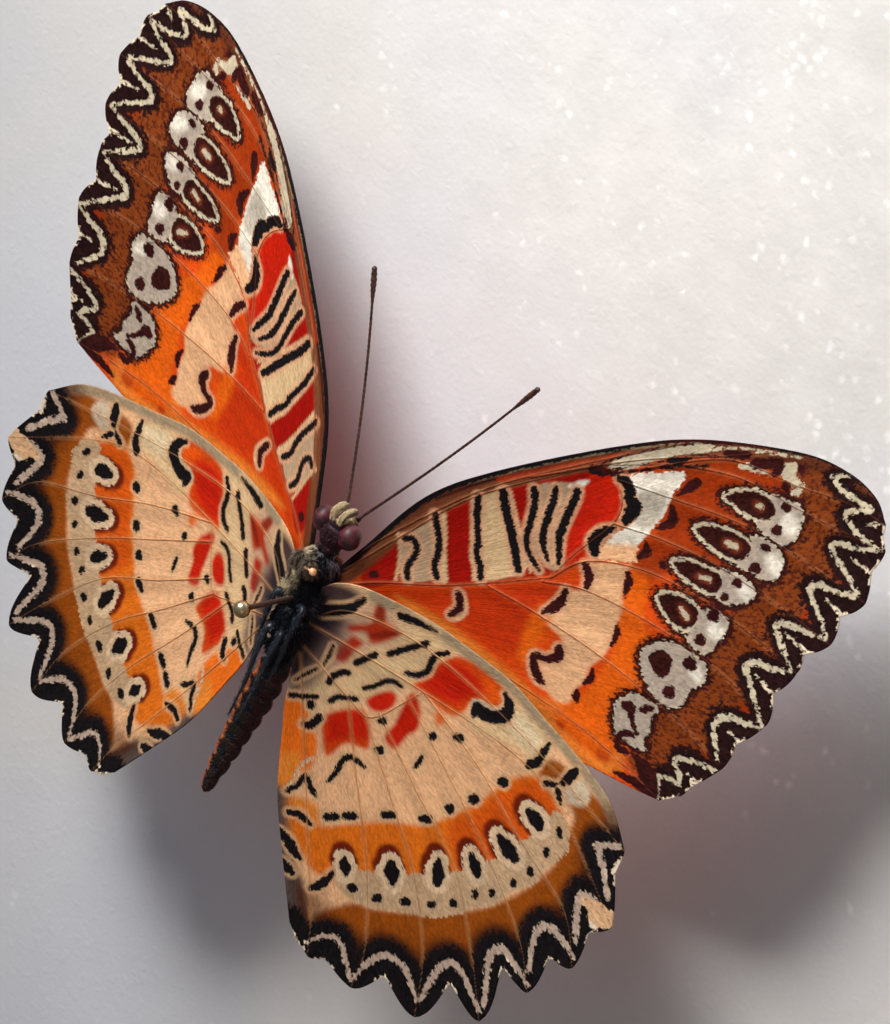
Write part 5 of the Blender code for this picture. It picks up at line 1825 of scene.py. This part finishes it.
for kind, places in LEGS.items():
    leg = make_leg(kind, places)
    settle_both(leg, kind, "limb_cuticle")
    blades, fur_colour, longer = (900, (128, 112, 92), 1.5) if kind == "foreleg" else (420, (46, 54, 66), 1.0)
    roots, outward = sown(leg.data, blades, everywhere)
    down_leg = np.array((0.0, -1.0, 0.1)) + RANDOM.normal(0, 0.3, (len(roots), 3))
    grey = linear(fur_colour) * spread_over(roots, 0.15, 1.3)[:, None]
    fur = make_tufts(kind + "_fur_right", roots, outward, down_leg, spread_over(roots, 0.2, 0.42) * longer,
                     spread_over(roots, 0.03, 0.05), grey, rise=0.5)
    settle_both(fur, None, "limb_cuticle")

# %% [markdown]
# The pin is drawn steel with a small ball cast on its end. Half of its outline is spun round its
# axis, so the ball, the neck, the shaft and the long point are one smooth surface. The lower side of
# the ball is painted dark brown as painted shade. Below the neck the shaft is painted a dull
# mauve-brown and made only half metallic, painted light that keeps it from mirroring only the dark body.

# %% Pin
PIN_AHEAD = 1.25
PIN_BALL_HEIGHT = 8.6
PIN_BALL_RADIUS = 0.7
PIN_SHAFT = 0.22
PIN_POINT = 3.0 - BODY_CENTRE[2]
PIN_NECK = (0.0366, 0.0370)


def steel_material():
    made = start_material("polished steel")
    where = object_place()
    drawn = Wire.node("VectorMath", {"operation": "MULTIPLY"}, {0: where, 1: (9000.0, 9000.0, 300.0)})
    scratches = noise(drawn, 1.0)
    smoky = noise(where, 700.0)
    tint = mixed(rgba((190, 162, 104)), rgba((230, 212, 172)), step_up(smoky, 0.35, 0.65))
    across, along, high = split(where)
    # Painted shade: the lower side of the ball, beyond a slanted plane, is painted dark brown.
    tint = mixed(rgba((50, 32, 22)), tint, step_up(high * 0.8 + along * 0.6 - across * 0.3, 0.0292, 0.0299))
    # Painted light: below the neck the shaft is painted a dull mauve-brown and is only half metallic.
    shaft = 1.0 - step_up(high, *PIN_NECK)
    return dress(made, Base_Color=mixed(tint, rgba((100, 76, 68)), shaft), Metallic=1.0 - shaft * 0.5,
                 Roughness=0.2 + scratches * 0.16, Normal=bump(scratches, 0.00001, 0.4))


def pin_profile():
    """Radius and height of the pin's outline from the top of the ball to the point."""
    profile = []
    for step in range(13):
        turn = math.pi * (0.5 - 0.92 * step / 12)
        height = PIN_BALL_HEIGHT + 0.94 * PIN_BALL_RADIUS * math.sin(turn)
        profile.append((PIN_BALL_RADIUS * math.cos(turn), height))
    profile += [(PIN_SHAFT * 1.15, PIN_BALL_HEIGHT - 0.72), (PIN_SHAFT, PIN_BALL_HEIGHT - 0.95)]
    profile += [(PIN_SHAFT, height) for height in (4.0, 0.0, -6.0, -12.0, -18.0, PIN_POINT + 2.6)]
    profile += [(PIN_SHAFT * part, PIN_POINT + up) for part, up in ((0.6, 1.2), (0.25, 0.3), (0.0, 0.0))]
    return profile


def spun(name, profile, place, steps=32):
    """A closed round piece from half of its outline, spun round the vertical axis at this place."""
    mesh = bpy.data.meshes.new(name)
    points = placed([(place[0] + radius, place[1], height) for radius, height in profile])
    mesh.from_pydata(points, [(i, i + 1) for i in range(len(points) - 1)], [])
    made = added(name, mesh)
    show_only(made)
    bpy.ops.object.mode_set(mode="EDIT")
    bpy.ops.mesh.select_all(action="SELECT")
    bpy.ops.mesh.spin(steps=steps, angle=2 * math.pi, center=placed((*place, 0)), axis=(0, 0, 1))
    bpy.ops.mesh.select_all(action="SELECT")
    bpy.ops.mesh.remove_doubles(threshold=0.01 * MM)
    bpy.ops.mesh.normals_make_consistent(inside=False)
    bpy.ops.object.mode_set(mode="OBJECT")
    made.data.shade_smooth()
    return made


pin = spun("pin_spun", pin_profile(), (0.0, PIN_AHEAD))
pin.data.materials.append(steel_material())
settle(pin, ["pin"])
low, high = np.array(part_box("pin"))
print("solid pin stands from", low.round(4).tolist(), "to", high.round(4).tolist())

# %% [markdown]
# A glossy bead of resin stands off the right foreleg on a short neck, where the setter fixed it. Its
# outline is spun like the pin's, a little flattened. Its amber is clouded with nearly white patches,
# which are a painted glint on top of the glossy finish.

# %% Bead of resin
BEAD_PLACE = (1.4, 4.85, 3.4)
NECK_LINE = [(0.62, 4.85, 3.6), (0.95, 4.85, 3.52), (1.25, 4.85, 3.45)]
NECK_RADII = [0.2, 0.09, 0.16]
BEAD_RADIUS = 0.33
BEAD_HALF_HEIGHT = 0.27

outline = []
for step in range(11):
    turn = math.pi * (0.5 - step / 10)
    height = BEAD_PLACE[2] + BEAD_HALF_HEIGHT * math.sin(turn)
    outline.append((BEAD_RADIUS * max(0.0, math.cos(turn)) ** 0.9, height))
bead = spun("resin_bead", outline, BEAD_PLACE[:2])
resin = start_material("amber resin")
cloud_and_painted_glint = step_up(noise(object_place(), 2600.0, 3.0), 0.35, 0.7)
# The nearly white colour is a painted glint. The same clouds vary the roughness and the bump.
dress(resin, Base_Color=mixed(rgba((232, 140, 78)), rgba((255, 226, 190)), cloud_and_painted_glint),
      Roughness=0.08 + cloud_and_painted_glint * 0.1, Coat_Weight=0.6, Normal=bump(cloud_and_painted_glint, 0.00002, 0.3))
bead.data.materials.append(resin)
neck = make_tube("resin_neck", NECK_LINE, NECK_RADII, resin)
bead = joined("resin_bead", bead, neck)
settle(bead, [])
